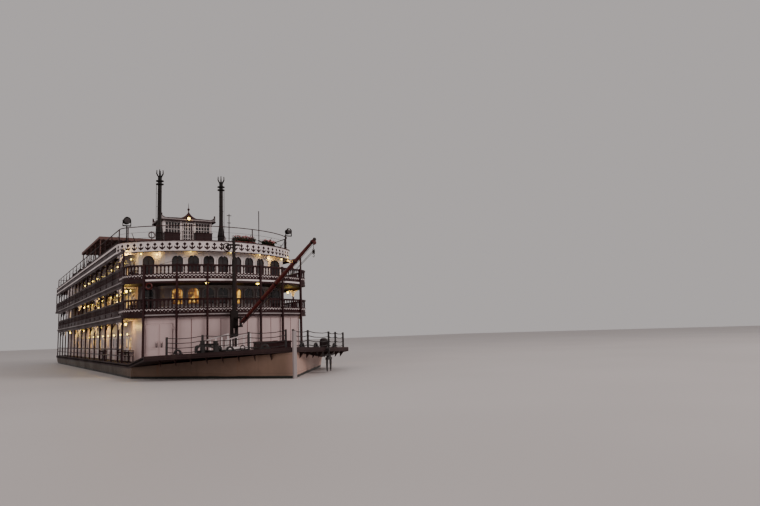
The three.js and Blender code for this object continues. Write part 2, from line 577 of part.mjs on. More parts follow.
const pilothouseRoof = () => {
  const half = PILOT.half + ROOF.over;
  const [x0, x1] = [PILOT.aft - ROOF.over, PILOT.front + ROOF.over];
  const middle = (x0 + x1) / 2;
  const edge = ROOF.board / 2;
  const section = (x, topHalf, high) => ({
    x, loop: [[-half, EAVES], [half, EAVES], [topHalf, EAVES + high], [-topHalf, EAVES + high]],
  });
  const hip = loftAlong([section(x0 + edge, half, ROOF.slab), section(middle, 0.4, ROOF.hip),
    section(x1 - edge, half, ROOF.slab)]);
  const boards = [
    eaveBoard(half, true).rotateZ(Math.PI / 2).translate(x1 - edge, 0, 0),
    eaveBoard(half, false).rotateZ(Math.PI / 2).translate(x0 + edge, 0, 0),
    ...[-1, 1].map((side) => eaveBoard((x1 - x0) / 2, false).translate(middle, side * (half - edge), 0)),
  ];
  const x = x1 - edge;
  return joined([hip, ...boards,
    bar([x, 0, EAVES + GABLE.high - 0.2], [x, 0, EAVES + GABLE.spike], 0.06, 6, 0.012),
    new THREE.SphereGeometry(0.12, 8, 6).translate(x, 0, EAVES + GABLE.ball)]);
};

// Funnels: a wide foot, a slender shaft with two flat rings, and a crown of four bent prongs
const PRONGS = 4;
const FUNNEL = { x: 10.7, y: 2.89, shaft: 0.18, foot: 0.33, ring: 0.36, crown: 18.86 };
const funnel = (side) => {
  const ringAt = (z) => [[FUNNEL.shaft, z], [FUNNEL.ring, z], [FUNNEL.ring, z + 0.07], [FUNNEL.shaft, z + 0.07]];
  const profile = [
    // radius, height
    [0, SUN_DECK + GAP], [FUNNEL.foot, SUN_DECK + GAP], [FUNNEL.foot, 13.65], [0.29, 13.9], [0.21, 14.45],
    [0.19, 14.75], ...ringAt(18.08), ...ringAt(18.38),
    [FUNNEL.shaft, FUNNEL.crown - 0.1], [0.2, FUNNEL.crown], [0.1, FUNNEL.crown + 0.06], [0, FUNNEL.crown + 0.06],
  ].map(([r, z]) => new THREE.Vector2(r, z));
  const shaft = new THREE.LatheGeometry(profile, 12).rotateX(Math.PI / 2);
  const prongs = Array.from({ length: PRONGS }, (_, i) => {
    const angle = 2 * Math.PI * i / PRONGS - 0.33;
    const at = (r, z) => [r * Math.cos(angle), r * Math.sin(angle), z];
    return [bar(at(0.12, FUNNEL.crown - 0.06), at(0.28, 19.12), 0.075, 6, 0.06),
      bar(at(0.28, 19.08), at(0.27, 19.46), 0.06, 6, 0.04)];
  }).flat();
  const whole = joined([shaft, ...prongs]);
  return whole.translate([FUNNEL.x, side * FUNNEL.y, 0]);
};

const AWNING = { fore: 1.33, aft: -11.5, half: 6.6, z: 14.28, thick: 0.14 };
const awning = () => {
  const pieces = [box(AWNING.aft, AWNING.fore, -AWNING.half, AWNING.half, AWNING.z, AWNING.z + AWNING.thick)];
  const bays = 4;
  for (let i = 0; i <= bays; i += 1) {
    const x = AWNING.aft + 0.15 + (AWNING.fore - AWNING.aft - 0.3) * i / bays;
    pieces.push(box(x - 0.04, x + 0.04, -AWNING.half + 0.05, AWNING.half - 0.05, AWNING.z - 0.12, AWNING.z + 0.02));
    for (const side of [-1, 1]) {
      const y = side * (AWNING.half - 0.15);
      pieces.push(box(x - 0.05, x + 0.05, y - 0.05, y + 0.05, SUN_DECK + GAP, AWNING.z + 0.02));
    }
  }
  return joined(pieces);
};

// Searchlights at the front corners of the sun deck, both looking ahead.
// The port one hangs outside the rail on an arm, so its stand is beside it.
const SEARCHLIGHTS = {
  starboard: { x: 16.0, y: -6.67, z: 13.52, standY: -6.67, drum: 0.27 },
  port: { x: 16.9, y: 7.17, z: 13.32, standY: 6.84, drum: 0.24 },
};
const searchlight = ({ x, y, z, standY, drum }) => {
  const arm = drum + 0.06;
  return joined([
    bar([x, standY, SUN_DECK + GAP], [x, standY, z - 0.4], 0.05, 8),
    bar([x, standY, SUN_DECK + GAP], [x, standY, SUN_DECK + 0.1], 0.16, 8),
    box(x - 0.06, x + 0.06, Math.min(y - arm, standY - 0.05), y + arm, z - 0.46, z - 0.38),
    box(x - 0.06, x + 0.06, y - arm, y - arm + 0.05, z - 0.44, z + 0.06),
    box(x - 0.06, x + 0.06, y + arm - 0.05, y + arm, z - 0.44, z + 0.06),
    bar([x - 0.3, y, z], [x + 0.16, y, z], drum, 14),
    bar([x, y - arm + 0.01, z], [x, y + arm - 0.01, z], 0.05, 6),
  ]);
};

// Aerials: two thin poles with cross fittings, one before and one beside the pilothouse
const aerial = (x, y, top, arms) => joined([
  bar([x, y, SUN_DECK + GAP], [x, y, SUN_DECK + 0.12], 0.16, 8),
  bar([x, y, SUN_DECK + 0.05], [x, y, top], 0.045, 6),
  ...arms.map(([z, half]) => box(x - 0.03, x + 0.03, y - half, y + half, z - 0.03, z + 0.03)),
]);

// Foredeck gear
const MAST = { x: 23.35, y: -0.3, towerTop: 5.8, top: 11.27 };
const PIVOT = { x: 23.95, z: 4.95 };
const mast = () => {
  const { x, y } = MAST;
  const base = deckHeight(x);
  const leg = (side) => box(x - 0.16, x + 0.16, y + side * 0.18 - 0.09, y + side * 0.18 + 0.09, base + 0.05,
    MAST.towerTop);
  const tie = (z0, z1) => box(x - 0.16, x + 0.16, y - 0.2, y + 0.2, z0, z1);
  const lug = (z0, z1) => joined([
    box(x + 0.1, x + 0.3, y, 0.13, z0, z1), box(x + 0.1, PIVOT.x + 0.13, -0.13, 0.13, z0, z1)]);
  return onForedeck(joined([
    box(x - 0.3, x + 0.3, y - 0.42, y + 0.42, base - 0.2, base + 0.14),
    leg(-1), leg(1), tie(base + 1.5, base + 1.75), tie(4.5, MAST.towerTop - 0.02),
    bar([x, y, MAST.towerTop - 0.4], [x, y, MAST.top], 0.15, 10, 0.11),
    box(x - 0.12, x + 0.12, y - 0.45, y + 0.45, MAST.top - 0.5, MAST.top - 0.38),
    geometryOf(lug(PIVOT.z - 0.38, PIVOT.z - 0.26)), geometryOf(lug(PIVOT.z + 0.26, PIVOT.z + 0.38)),
  ]));
};

// Boom: the gooseneck swings between the mast lugs, and the boom lifts on its pin
const BOOM = { slew: 9.1 * Math.PI / 180, luff: 28 * Math.PI / 180, length: 10.6, radius: 0.16 };
const BOOM_PIN = { at: 0.26, radius: 0.04 };
const gooseneck = () => joined([
  bar([0, 0, GAP - 0.26], [0, 0, 0.26 - GAP], 0.1, 10),
  box(0.02, 0.34, -0.05, 0.05, -0.08, 0.08),
  bar([BOOM_PIN.at, -0.17, 0], [BOOM_PIN.at, 0.17, 0], BOOM_PIN.radius, 8),
]);
const boom = () => less(joined([
  box(-0.07, 0.5, -0.14, -0.05 - GAP, -0.07, 0.07),
  box(-0.07, 0.5, 0.05 + GAP, 0.14, -0.07, 0.07),
  box(0.36, 0.55, -0.14, 0.14, -0.09, 0.09),
  bar([0.5, 0, 0], [BOOM.length * 0.5, 0, 0], 0.12, 10, BOOM.radius),
  bar([BOOM.length * 0.5 - 0.01, 0, 0], [BOOM.length, 0, 0], BOOM.radius, 10, 0.1),
  box(BOOM.length - 0.25, BOOM.length - 0.05, -0.06, 0.06, -0.3, 0.02),
]), [bore([0, -1, 0], [0, 1, 0], BOOM_PIN.radius, 8)]);

const STAGE = { x0: 24.5, x1: 29.5, y0: -2.9, y1: -1.3 };
const stage = () => {
  const slope = (deckHeight(STAGE.x1) - deckHeight(STAGE.x0)) / (STAGE.x1 - STAGE.x0);
  const z = (x) => deckHeight(STAGE.x0) + 0.02 + slope * (x - STAGE.x0) + 0.12;
  const pieces = [sidePrism([[STAGE.x0, z(STAGE.x0)], [STAGE.x1, z(STAGE.x1)],
    [STAGE.x1, z(STAGE.x1) + 0.14], [STAGE.x0, z(STAGE.x0) + 0.14]], STAGE.y0, STAGE.y1)];
  for (const x of [STAGE.x0 + 0.4, STAGE.x1 - 0.4]) {
    pieces.push(box(x - 0.1, x + 0.1, STAGE.y0 + 0.1, STAGE.y1 - 0.1, deckHeight(x) - 0.1, z(x) + 0.08));
  }
  for (const y of [STAGE.y0 + 0.04, STAGE.y1 - 0.04]) {
    const top = 0.95;
    pieces.push(sidePrism([[STAGE.x0, z(STAGE.x0) + top], [STAGE.x1, z(STAGE.x1) + top],
      [STAGE.x1, z(STAGE.x1) + top + 0.07], [STAGE.x0, z(STAGE.x0) + top + 0.07]], y - 0.035, y + 0.035));
    for (let i = 0; i <= 4; i += 1) {
      const x = STAGE.x0 + 0.05 + (STAGE.x1 - STAGE.x0 - 0.1) * i / 4;
      pieces.push(box(x - 0.035, x + 0.035, y - 0.03, y + 0.03, z(x) + 0.02, z(x) + top + 0.02));
    }
  }
  return onForedeck(joined(pieces));
};

const HATCH = { x0: 29.1, x1: 30.7, y0: -1.0, y1: 1.0, high: 0.42, lid: 0.07 };
const foreHatch = () => {
  const top = deckHeight(HATCH.x1) + HATCH.high;
  const coaming = solid(box(HATCH.x0, HATCH.x1, HATCH.y0, HATCH.y1, top - 1, top));
  return onForedeck(less(coaming, [
    box(HATCH.x0 + 0.06, HATCH.x1 - 0.06, HATCH.y0 + 0.06, HATCH.y1 - 0.06, deckHeight(HATCH.x1) + 0.06, top + 1)]));
};
const hatchTop = deckHeight(HATCH.x1) + HATCH.high + GAP;
const hatchLid = () => joined([
  box(HATCH.x0 - 0.04, HATCH.x1 + 0.04, HATCH.y0 - 0.04, HATCH.y1 + 0.04, hatchTop, hatchTop + HATCH.lid),
  box(HATCH.x1 - 0.3, HATCH.x1 - 0.24, -0.15, 0.15, hatchTop + 0.04, hatchTop + HATCH.lid + 0.06),
]);

// Windlass: an upright drum with a waist and a cap on a round foot
const WINDLASS = { x: 27.0, y: 5.33 };
const windlass = () => {
  const { x, y } = WINDLASS;
  const z = deckHeight(x);
  const profile = [
    // radius, height
    [0, -0.1], [0.34, -0.1], [0.34, 0.07], [0.27, 0.07], [0.27, 0.14], [0.21, 0.22], [0.19, 0.36], [0.22, 0.48],
    [0.28, 0.53], [0.28, 0.62], [0.12, 0.7], [0, 0.7],
  ].map(([r, high]) => new THREE.Vector2(r, high));
  return onForedeck(solid(new THREE.LatheGeometry(profile, 14).rotateX(Math.PI / 2).translate(x, y, z)));
};

// The slanting deck edge at the bow. Gear along it is drawn with X from the stem aft along the port edge,
// and Y inboard from the edge.
const [BOW_DX, BOW_DY] = [STEM - DECK_SHOULDER, HALF_BEAM - STEM_HALF];
const BOW_EDGE = Math.hypot(BOW_DX, BOW_DY);
const bowDeck = (s) => deckHeight(STEM - s * BOW_DX / BOW_EDGE);
const atBow = (body) => solid(geometryOf(body).rotateZ(Math.atan2(BOW_DY, -BOW_DX)).translate(STEM, STEM_HALF, 0));

// Double bollard on the starboard side, in line with the deck edge
const BITTS = { fromStem: 5.8, inset: 0.82, half: 0.68, foot: 0.22 };
const bitts = () => {
  const { fromStem: s, inset: y, half, foot } = BITTS;
  const z = bowDeck(s);
  const column = (x) => bar([x, y, z + 0.05], [x, y, z + 0.72], 0.15, 10);
  return onForedeck(atBow(joined([
    box(s - half, s + half, y - foot, y + foot, z - 0.2, z + 0.12),
    column(s - half + 0.24), column(s + half - 0.24),
    bar([s - half + 0.04, y, z + 0.5], [s + half - 0.04, y, z + 0.5], 0.06, 8),
  ])).mirror([0, 1, 0]));
};

// Chain rails along the bow: posts in one line with the deck edge, and chains that sag between them.
// The posts are placed by their distance from the stem along that line.
const CHAIN_LINE = { inset: 0.35, thick: 0.05 };
const CHAIN_POSTS = { starboard: [0.55, 2.97, 6.03, 8.45], port: [0.55, 2.86, 6.6, 7.95, 9.6] };
const CHAIN_HEIGHTS = [0.14, 0.44, 0.74, 1.04];
const CHAIN_DEPTH = 0.045;
const CHAIN_SAG = 0.1;
const chainRail = (side, posts) => {
  const { inset: y, thick } = CHAIN_LINE;
  const pieces = posts.map((s) => box(
    s - 0.055, s + 0.055, y - 0.055, y + 0.055, bowDeck(s) - 0.2, bowDeck(s) + 1.13));
  for (const height of CHAIN_HEIGHTS) {
    const line = [];
    for (let i = 0; i + 1 < posts.length; i += 1) {
      for (const t of [0, 0.3, 0.7]) {
        const s = posts[i] + (posts[i + 1] - posts[i]) * t;
        line.push([s, bowDeck(s) + height - CHAIN_SAG * 4 * t * (1 - t)]);
      }
    }
    const end = posts[posts.length - 1];
    line.push([end, bowDeck(end) + height]);
    const upper = line.map(([s, z]) => [s, z + CHAIN_DEPTH]).reverse();
    pieces.push(sidePrism([...line, ...upper], y - thick / 2, y + thick / 2));
  }
  const standing = onForedeck(atBow(joined(pieces)));
  return side > 0 ? standing : standing.mirror([0, 1, 0]);
};

// Anchor hanging at the port bow, flat to the slanting deck edge, with its flukes down
const ANCHOR = {
  fromStem: 5.15, out: 0.2, crown: 2.23, tips: 1.38, stockHalf: 0.82, crownHalf: 0.3, tipHalf: 0.33,
};
const anchor = () => {
  const { fromStem: s, crown, tips, stockHalf, crownHalf, tipHalf } = ANCHOR;
  const y = -ANCHOR.out;
  const edge = bowDeck(s) - DECK_EDGE / 2;
  const fluke = (side) => bar([s + side * crownHalf, y, crown], [s + side * tipHalf, y, tips], 0.1, 6, 0.02);
  return atBow(joined([
    bar([s, y, crown - 0.12], [s, y, edge], 0.07, 8),
    bar([s - stockHalf, y, crown + 0.16], [s + stockHalf, y, crown + 0.16], 0.05, 8),
    box(s - crownHalf - 0.1, s + crownHalf + 0.1, y - 0.09, y + 0.09, crown - 0.15, crown + 0.02),
    fluke(-1), fluke(1),
    bar([s, -GAP, edge], [s, y - 0.08, edge], 0.12, 10),
  ]));
};

// Paddle wheel: shaft with two collars, three spoked frames, and float boards
const WHEEL = { x: -30.5, z: 3.62, radius: 3.0, half: 4.4, floats: 12, frames: 3, shaft: 0.2 };
const ARM = { y: 5.0, half: 0.24 };
const paddleWheel = () => {
  const frame = () => {
    const step = 2 * Math.PI / WHEEL.floats;
    const at = (r, angle) => new THREE.Vector2(r * Math.cos(angle), r * Math.sin(angle));
    const shape = new THREE.Shape(Array.from({ length: WHEEL.floats }, (_, i) => at(2.62, i * step)));
    shape.holes = Array.from({ length: WHEEL.floats }, (_, i) => {
      const [a, b] = [i * step, (i + 1) * step];
      return new THREE.Path([at(0.6, a + 0.1), at(2.4, a + 0.027), at(2.4, b - 0.027), at(0.6, b - 0.1)]);
    });
    return new THREE.ExtrudeGeometry(shape, { depth: 0.14, bevelEnabled: false }).rotateX(Math.PI / 2);
  };
  const inner = ARM.y - ARM.half - GAP;
  const pieces = [
    bar([0, -WHEEL.half - 0.86, 0], [0, WHEEL.half + 0.86, 0], WHEEL.shaft, 12),
    ...[-1, 1].map((side) => bar([0, side * (inner - 0.16), 0], [0, side * inner, 0], WHEEL.shaft + 0.1, 12)),
  ];
  for (let f = 0; f < WHEEL.frames; f += 1) {
    pieces.push(frame().translate(0, -WHEEL.half + 0.27 + (2 * WHEEL.half - 0.4) * f / (WHEEL.frames - 1), 0));
  }
  for (let i = 0; i < WHEEL.floats; i += 1) {
    pieces.push(box(2.1, WHEEL.radius, -WHEEL.half, WHEEL.half, -0.035, 0.035).rotateY(2 * Math.PI * i / WHEEL.floats));
  }
  return joined(pieces);
};

// Wheel arms: a timber from the deck to the bearing, a post up to deck 3, and a brace
const wheelArm = (side) => {
  const [y0, y1] = [side * ARM.y - ARM.half, side * ARM.y + ARM.half];
  const under = DECK_3 - DECK_THICK - GAP;
  const timber = sidePrism([[TRANSOM - GAP, 1.5], [TRANSOM - GAP, 2.2], [TRANSOM - GAP, 2.9], [WHEEL.x + 0.5, 3.95],
    [WHEEL.x - 0.45, 3.95], [WHEEL.x - 0.45, 3.25], [WHEEL.x + 0.35, 3.1]], y0, y1);
  const post = box(WHEEL.x - 0.12, WHEEL.x + 0.12, y0 + 0.1, y1 - 0.1, 3.9, under);
  return less(joined([timber, post]), [bore([WHEEL.x, y0 - 1, WHEEL.z], [WHEEL.x, y1 + 1, WHEEL.z], WHEEL.shaft, 12)]);
};

const rudder = () => joined([
  box(-1.45, 0.65, -0.06, 0.06, 0.08, 0.72),
  bar([0, 0, 0.1], [0, 0, RUDDER.stockTop], RUDDER.stock, 10),
]);

// The assembly
add('hull', hull(), HULL_CREAM);
add('main_deck', mainDeck(), DECK_MAROON);
add('stem_post', stemPost(), HULL_CREAM);
add('main_house', mainHouse(), WHITE);
for (const leaf of ['outer', 'inner']) add(`fore_door_${leaf}`, foreDoor(leaf), WHITE);
add('engine', box(ENGINE.x0, ENGINE.x1, -ENGINE.half, ENGINE.half, MAIN_DECK + GAP, MAIN_DECK + ENGINE.high), STEEL);
add('deck_2', prism(deckPlan(UPPER_PLAN, TRANSOM), DECK_2 - DECK_THICK, DECK_2), DECK_MAROON);
add('deck_3', prism(deckPlan(UPPER_PLAN, OVERHANG_AFT), DECK_3 - DECK_THICK, DECK_3, [wellTwo]), DECK_MAROON);
add('house_2', upperHouse(DECK_2, DECK_3 - DECK_THICK), WHITE);
add('house_3', upperHouse(DECK_3, SUN_DECK - DECK_THICK), WHITE);
add('sun_deck', prism(deckPlan(inset(SUN_PLAN, FASCIA_THICK + GAP), OVERHANG_AFT + FASCIA_THICK + GAP),
  SUN_DECK - DECK_THICK, SUN_DECK, [wellThree]), DECK_MAROON);
add('stair_2', stairTwo(), MAROON);
add('stair_3', stairThree(), MAROON);
add('sun_fascia', sunFascia(), WHITE);
for (const [name, side] of SIDES) {
  add(`gallery_main_${name}`, gallery({ floor: MAIN_DECK, ceiling: DECK_2 - DECK_THICK, aft: TRANSOM + 0.2, side,
    bars: MAIN_BARS }), MAROON);
  add(`gallery_2_${name}`, gallery({ floor: DECK_2, ceiling: DECK_3 - DECK_THICK, aft: TRANSOM + 0.2, side,
    bars: UPPER_BARS }), MAROON);
  add(`gallery_3_${name}`, gallery({ floor: DECK_3, ceiling: FASCIA_FOOT, aft: OVERHANG_AFT + 0.2, side,
    bars: UPPER_BARS, open: WIDE_BAYS }), MAROON);
  add(`sun_rail_${name}`, sunRailSide(side), MAROON);
  add(`funnel_${name}`, funnel(side), FUNNEL_BLACK);
  add(`searchlight_${name}`, searchlight(SEARCHLIGHTS[name]), LAMP);
  add(`chain_rail_${name}`, chainRail(side, CHAIN_POSTS[name]), STEEL);
  add(`wheel_arm_${name}`, wheelArm(side), HULL_CREAM);
}
add('front_frame', frontFrame(), MAROON);
add('sun_rail_front', sunRailFront(), MAROON);
const galleryInner = GALLERY_Y - GALLERY_HALF_THICK - GAP;
for (const [name, floor, end] of [['2', DECK_2, TRANSOM], ['3', DECK_3, OVERHANG_AFT]]) {
  add(`aft_rail_${name}`, aftRail(end + 0.26, galleryInner, floor, 2 * GALLERY_HALF_THICK, RAIL_HIGH, RAIL_DEPTH,
    UPPER_BARS), MAROON);
}
add('aft_rail_sun', aftRail(OVERHANG_AFT + RAIL_INSET + SUN_RAIL_PIPE / 2,
  SUN_PLAN.half - RAIL_INSET - SUN_RAIL_PIPE / 2 - GAP, SUN_DECK, SUN_RAIL_PIPE, SUN_RAIL_TOP - SUN_DECK - GAP,
  SUN_RAIL_PIPE, []), MAROON);
add('pilothouse', pilothouse(), WHITE);
add('pilothouse_door', pilothouseDoor(), WHITE);
add('pilothouse_roof', pilothouseRoof(), MAROON);
add('awning', awning(), AWNING_BROWN);
add('aerial_fore', aerial(12.4, 3.1, 15.45, [[14.6, 0.16], [15.3, 0.22]]), STEEL);
add('aerial_whip', aerial(14.6, 5.2, 15.5, [[12.7, 0.12]]), STEEL);
add('mast', mast(), FUNNEL_BLACK);
add('stage', stage(), WHITE);
add('fore_hatch', foreHatch(), MAROON);
add('fore_hatch_lid', hatchLid(), MAROON);
add('windlass', windlass(), DARK_RED);
add('bitts', bitts(), STEEL);
add('anchor', anchor(), STEEL);

const wheelPlace = new THREE.Group();
wheelPlace.position.set(WHEEL.x, 0, WHEEL.z);
ship.add(wheelPlace);
add('paddle_wheel', paddleWheel(), WHEEL_RED, wheelPlace);

RUDDER.ys.forEach((y, i) => {
  const place = new THREE.Group();
  place.position.set(RUDDER.x, y, 0);
  ship.add(place);
  add(`rudder_${RUDDER.names[i]}`, rudder(), WHEEL_RED, place);
});

const slewPlace = new THREE.Group();
slewPlace.position.set(PIVOT.x, 0, PIVOT.z);
slewPlace.rotation.z = BOOM.slew;
ship.add(slewPlace);
add('gooseneck', gooseneck(), STEEL, slewPlace);
const luffPlace = new THREE.Group();
luffPlace.position.set(BOOM_PIN.at, 0, 0);
luffPlace.rotation.y = -BOOM.luff;
slewPlace.add(luffPlace);
add('boom', boom(), DARK_RED, luffPlace);

const group = new THREE.Group();
group.name = 'paddle_steamer';
group.scale.setScalar(MODEL_MM_PER_METRE);
group.add(ship);
group.updateMatrixWorld(true);

export default group;
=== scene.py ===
# %% [markdown]
# # Dressing a stern-wheel paddle steamer
# The frame brings the ship's construction: hull, decks, houses, rails, funnels, boom and wheel, at half the
# size of the real ship. This lesson gives them paint and weather, and adds what is too fine for a frame:
# sawn balusters, fretwork, mouldings, window frames and panes, lamps, tackle and wires.
# Every new piece is modelled in metres of the real ship and halved when it is finished, so its sizes can be
# compared with a real deck or door.

# %% Load the frame
import math
import random

import bmesh
import bpy
from mathutils import Matrix, Quaternion, Vector


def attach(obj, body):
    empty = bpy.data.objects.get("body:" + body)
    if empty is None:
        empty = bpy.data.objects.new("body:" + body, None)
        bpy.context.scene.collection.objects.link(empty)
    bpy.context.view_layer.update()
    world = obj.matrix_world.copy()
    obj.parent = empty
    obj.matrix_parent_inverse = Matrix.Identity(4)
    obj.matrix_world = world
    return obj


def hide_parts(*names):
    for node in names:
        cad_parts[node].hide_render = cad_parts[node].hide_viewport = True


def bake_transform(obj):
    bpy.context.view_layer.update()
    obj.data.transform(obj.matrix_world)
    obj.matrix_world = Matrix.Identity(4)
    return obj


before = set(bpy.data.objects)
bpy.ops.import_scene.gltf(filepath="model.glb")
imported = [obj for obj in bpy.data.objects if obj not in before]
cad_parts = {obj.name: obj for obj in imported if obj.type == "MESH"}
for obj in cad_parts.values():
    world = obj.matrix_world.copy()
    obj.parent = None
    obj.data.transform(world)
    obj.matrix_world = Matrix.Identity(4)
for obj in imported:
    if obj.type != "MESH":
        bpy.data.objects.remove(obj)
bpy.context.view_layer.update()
MODEL = 0.5                      # metres of the model for each metre of the ship
WATERLINE = 1.2                  # above the flat hull bottom
dice = random.Random(7)
print("frame nodes:", len(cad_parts))

# %% [markdown]
# The camera stands low over the water off the starboard bow, about 40 m away, and looks up a little. It leans
# by two degrees, as a camera held by hand does. Its place came first, because everything that shows is
# judged from here.

# %% Camera
CAMERA_PLACE = Vector((68.87, -16.33, 3.79))
AIM_POINT = Vector((43.48, 0, 7.67))
CAMERA_LEAN = math.radians(-1.93)
LENS_MM = 29.44


def set_camera():
    """A camera at the photograph's place, with no shift and no depth of field."""
    bpy.ops.object.camera_add(location=CAMERA_PLACE * MODEL)
    camera = bpy.context.object
    camera.rotation_mode = "QUATERNION"
    look = (AIM_POINT - CAMERA_PLACE).to_track_quat("-Z", "Y")
    camera.rotation_quaternion = look @ Quaternion((0, 0, 1), CAMERA_LEAN)
    camera.data.lens = LENS_MM
    camera.data.sensor_width = 36
    camera.data.clip_start = 0.1
    camera.data.clip_end = 500
    bpy.context.scene.camera = camera


set_camera()
print("camera", tuple(round(c, 2) for c in CAMERA_PLACE * MODEL))

# %% [markdown]
# ## A small language for shaders
# A material is a graph of nodes, and drawing one with hundreds of links hides the thought behind it. So a
# socket is wrapped in a class that knows sums: `1 - mask * 0.5` adds two Math nodes. Everything else, such
# as a noise or a mix, comes from one method that takes the node's type, its settings and its inputs.

# %% Signals and finishes
class Signal:
    """A shader socket that takes part in sums."""

    def __init__(self, finish, socket):
        self.finish = finish
        self.socket = socket

    def maths(self, operation, *values):
        """A Math node on the values."""
        return self.finish.node("ShaderNodeMath", {"operation": operation}, *values)

    def __add__(self, other):
        return self.maths("ADD", self, other)

    def __sub__(self, other):
        return self.maths("SUBTRACT", self, other)

    def __rsub__(self, other):
        return self.maths("SUBTRACT", other, self)

    def __mul__(self, other):
        return self.maths("MULTIPLY", self, other)

    def __mod__(self, other):
        return self.maths("FLOORED_MODULO", self, other)

    def __gt__(self, other):
        return self.maths("GREATER_THAN", self, other)

    def __abs__(self):
        return self.maths("ABSOLUTE", self)

    __radd__ = __add__
    __rmul__ = __mul__

    def between(self, low, high):
        """0 up to low, 1 from high on, and a soft step between them."""
        settings = {"interpolation_type": "SMOOTHSTEP"}
        return self.finish.node("ShaderNodeMapRange", settings, self, low, high, 0, 1.0)


MIX_COLOURS = (6, 7)             # the two colour sockets of a Mix node


class Finish:
    """One material: its nodes, its slot, and the ship's own coordinates to draw patterns in."""

    def __init__(self, name, slot):
        self.slot = slot
        self.material = bpy.data.materials.new(name)
        self.material.use_nodes = True
        self.tree = self.material.node_tree
        self.shader = self.tree.nodes["Principled BSDF"]
        coordinates = self.node("ShaderNodeTexCoord", output="Object")
        scale = (1 / MODEL, 1 / MODEL, 1 / MODEL)
        self.place = self.node("ShaderNodeMapping", None, coordinates, Scale=scale)
        self.x, self.y, self.z = (self.node("ShaderNodeSeparateXYZ", None, self.place, output=i)
                                  for i in range(3))

    def node(self, kind, settings=None, *values, output=0, **named):
        """A node of this kind, its settings set first, and then its sockets by order or by name."""
        made = self.tree.nodes.new(kind)
        for key, value in (settings or {}).items():
            setattr(made, key, value)
        for key, value in [*enumerate(values), *named.items()]:
            self.feed(made.inputs[key], value)
        return Signal(self, made.outputs[output])

    def feed(self, socket, value):
        """Links a signal to a socket, or sets the socket to a value."""
        if isinstance(value, Signal):
            self.tree.links.new(value.socket, socket)
        else:
            socket.default_value = (*value, 1) if socket.type == "RGBA" else value

    def noise(self, scale, detail=3.0, stretch=(1, 1, 1), roughness=0.55):
        """A cloud pattern with a number for how many clouds there are in a metre of the ship."""
        place = self.node("ShaderNodeVectorMath", {"operation": "MULTIPLY"}, self.place, stretch)
        return self.node("ShaderNodeTexNoise", None, place, Scale=scale, Detail=detail, Roughness=roughness)

    def mix(self, factor, first, second):
        """The first colour where the factor is 0 and the second where it is 1."""
        made = self.node("ShaderNodeMix", {"data_type": "RGBA"}, factor, output=2)
        for socket, value in zip(MIX_COLOURS, (first, second)):
            self.feed(made.socket.node.inputs[socket], value)
        return made

    def paint(self, colour, roughness, height=None, depth=0.01):
        """Joins the colour, the gloss and the relief to the shader. The depth is in metres of the ship."""
        self.feed(self.shader.inputs["Base Color"], colour)
        self.feed(self.shader.inputs["Roughness"], roughness)
        if height is not None:
            bump = self.node("ShaderNodeBump", None, Height=height, Distance=depth * MODEL, Strength=1.0)
            self.feed(self.shader.inputs["Normal"], bump)
        return self

    def emit(self, colour, strength):
        """Makes the surface give off light of this colour."""
        self.feed(self.shader.inputs["Emission Color"], colour)
        self.shader.inputs["Emission Strength"].default_value = strength
        return self


def darker(colour, share):
    """A colour times a share of its light."""
    return tuple(channel * share for channel in colour)

# %% [markdown]
# ## Paints
# Painted steel and board share one recipe. A broad cloud fades the colour, thin upright runs show where rain
# carries dirt down, and a fine noise gives the surface its brush marks. Each paint then adds its own marks:
# plate seams and a boot line on the hull, board joints on the houses, soot on the funnels.

# %% Weathered paint
DIRT = (0.11, 0.075, 0.05)
RUST = (0.2, 0.066, 0.025)


def weathered(name, slot, colour, gloss=0.42, runs=0.35, fade=0.8, marks=None, shine=0.5):
    """Paint that has stood in the weather. marks(finish, colour) may draw more on it."""
    finish = Finish(name, slot)
    finish.shader.inputs["Specular IOR Level"].default_value = shine
    cloud = finish.noise(0.45, 5).between(0.35, 0.7)
    brush = finish.noise(22, 3)
    body = finish.mix(cloud, colour, darker(colour, fade))
    streaks = finish.noise(2.6, 4, stretch=(1, 1, 0.1)).between(0.52, 0.78)
    body = finish.mix(streaks * runs, body, DIRT)
    height = brush * 0.15
    if marks:
        body, lines = marks(finish, body)
        height = height + lines
    finish.paint(body, cloud * 0.14 + brush * 0.1 + (gloss - 0.1), height, 0.012)
    return finish


def seam(value, pitch, width):
    """1 on thin lines that come once in each pitch."""
    return abs(value % pitch - pitch / 2) > pitch / 2 - width / 2


def hull_marks(finish, body):
    """A black boot line at the water, plate seams and runs of rust. Painted shadow darkens it aft, with the
    dark water reflected in the side, and painted light makes it paler to port.
    """
    upright = seam(finish.x, 2.4, 0.02)
    level = seam(finish.z - 0.35, 1.15, 0.02)
    seams = upright.maths("MAXIMUM", upright, level)
    shade = (finish.x + finish.noise(0.3, 3) * 6).between(20, 32)
    port = finish.y.between(-0.5, 0.5)
    # Painted shadow: the hull is painted darker aft, for the shade on its side and the dark water reflected
    # in it.
    body = finish.mix((1 - shade) * 0.92, body, (0.03, 0.021, 0.012))
    # Painted light: the port side is painted paler, as the side the light falls on.
    body = finish.mix(port * 0.6, body, (0.66, 0.42, 0.35))
    bleed = finish.noise(1.7, 5, stretch=(1, 1, 0.09)).between(0.58, 0.8)
    body = finish.mix(bleed * 0.55, body, RUST)
    body = finish.mix(seams * 0.35, body, DIRT)
    ripple = finish.noise(0.6, 2) * 0.1
    boot = (finish.z + ripple).between(WATERLINE + 0.2, WATERLINE + 0.22)
    slime = (finish.z + ripple * 2).between(WATERLINE - 0.1, WATERLINE + 0.3)
    below = finish.mix(slime, (0.03, 0.035, 0.02), (0.008, 0.007, 0.007))
    return finish.mix(boot, below, body), (1 - seams) * 0.35


def board_marks(finish, body):
    """Thin upright joints of wall boards, with dirt at their feet."""
    joints = seam(finish.x, 0.6, 0.008)
    return finish.mix(joints * 0.4, body, DIRT), (1 - joints) * 0.25


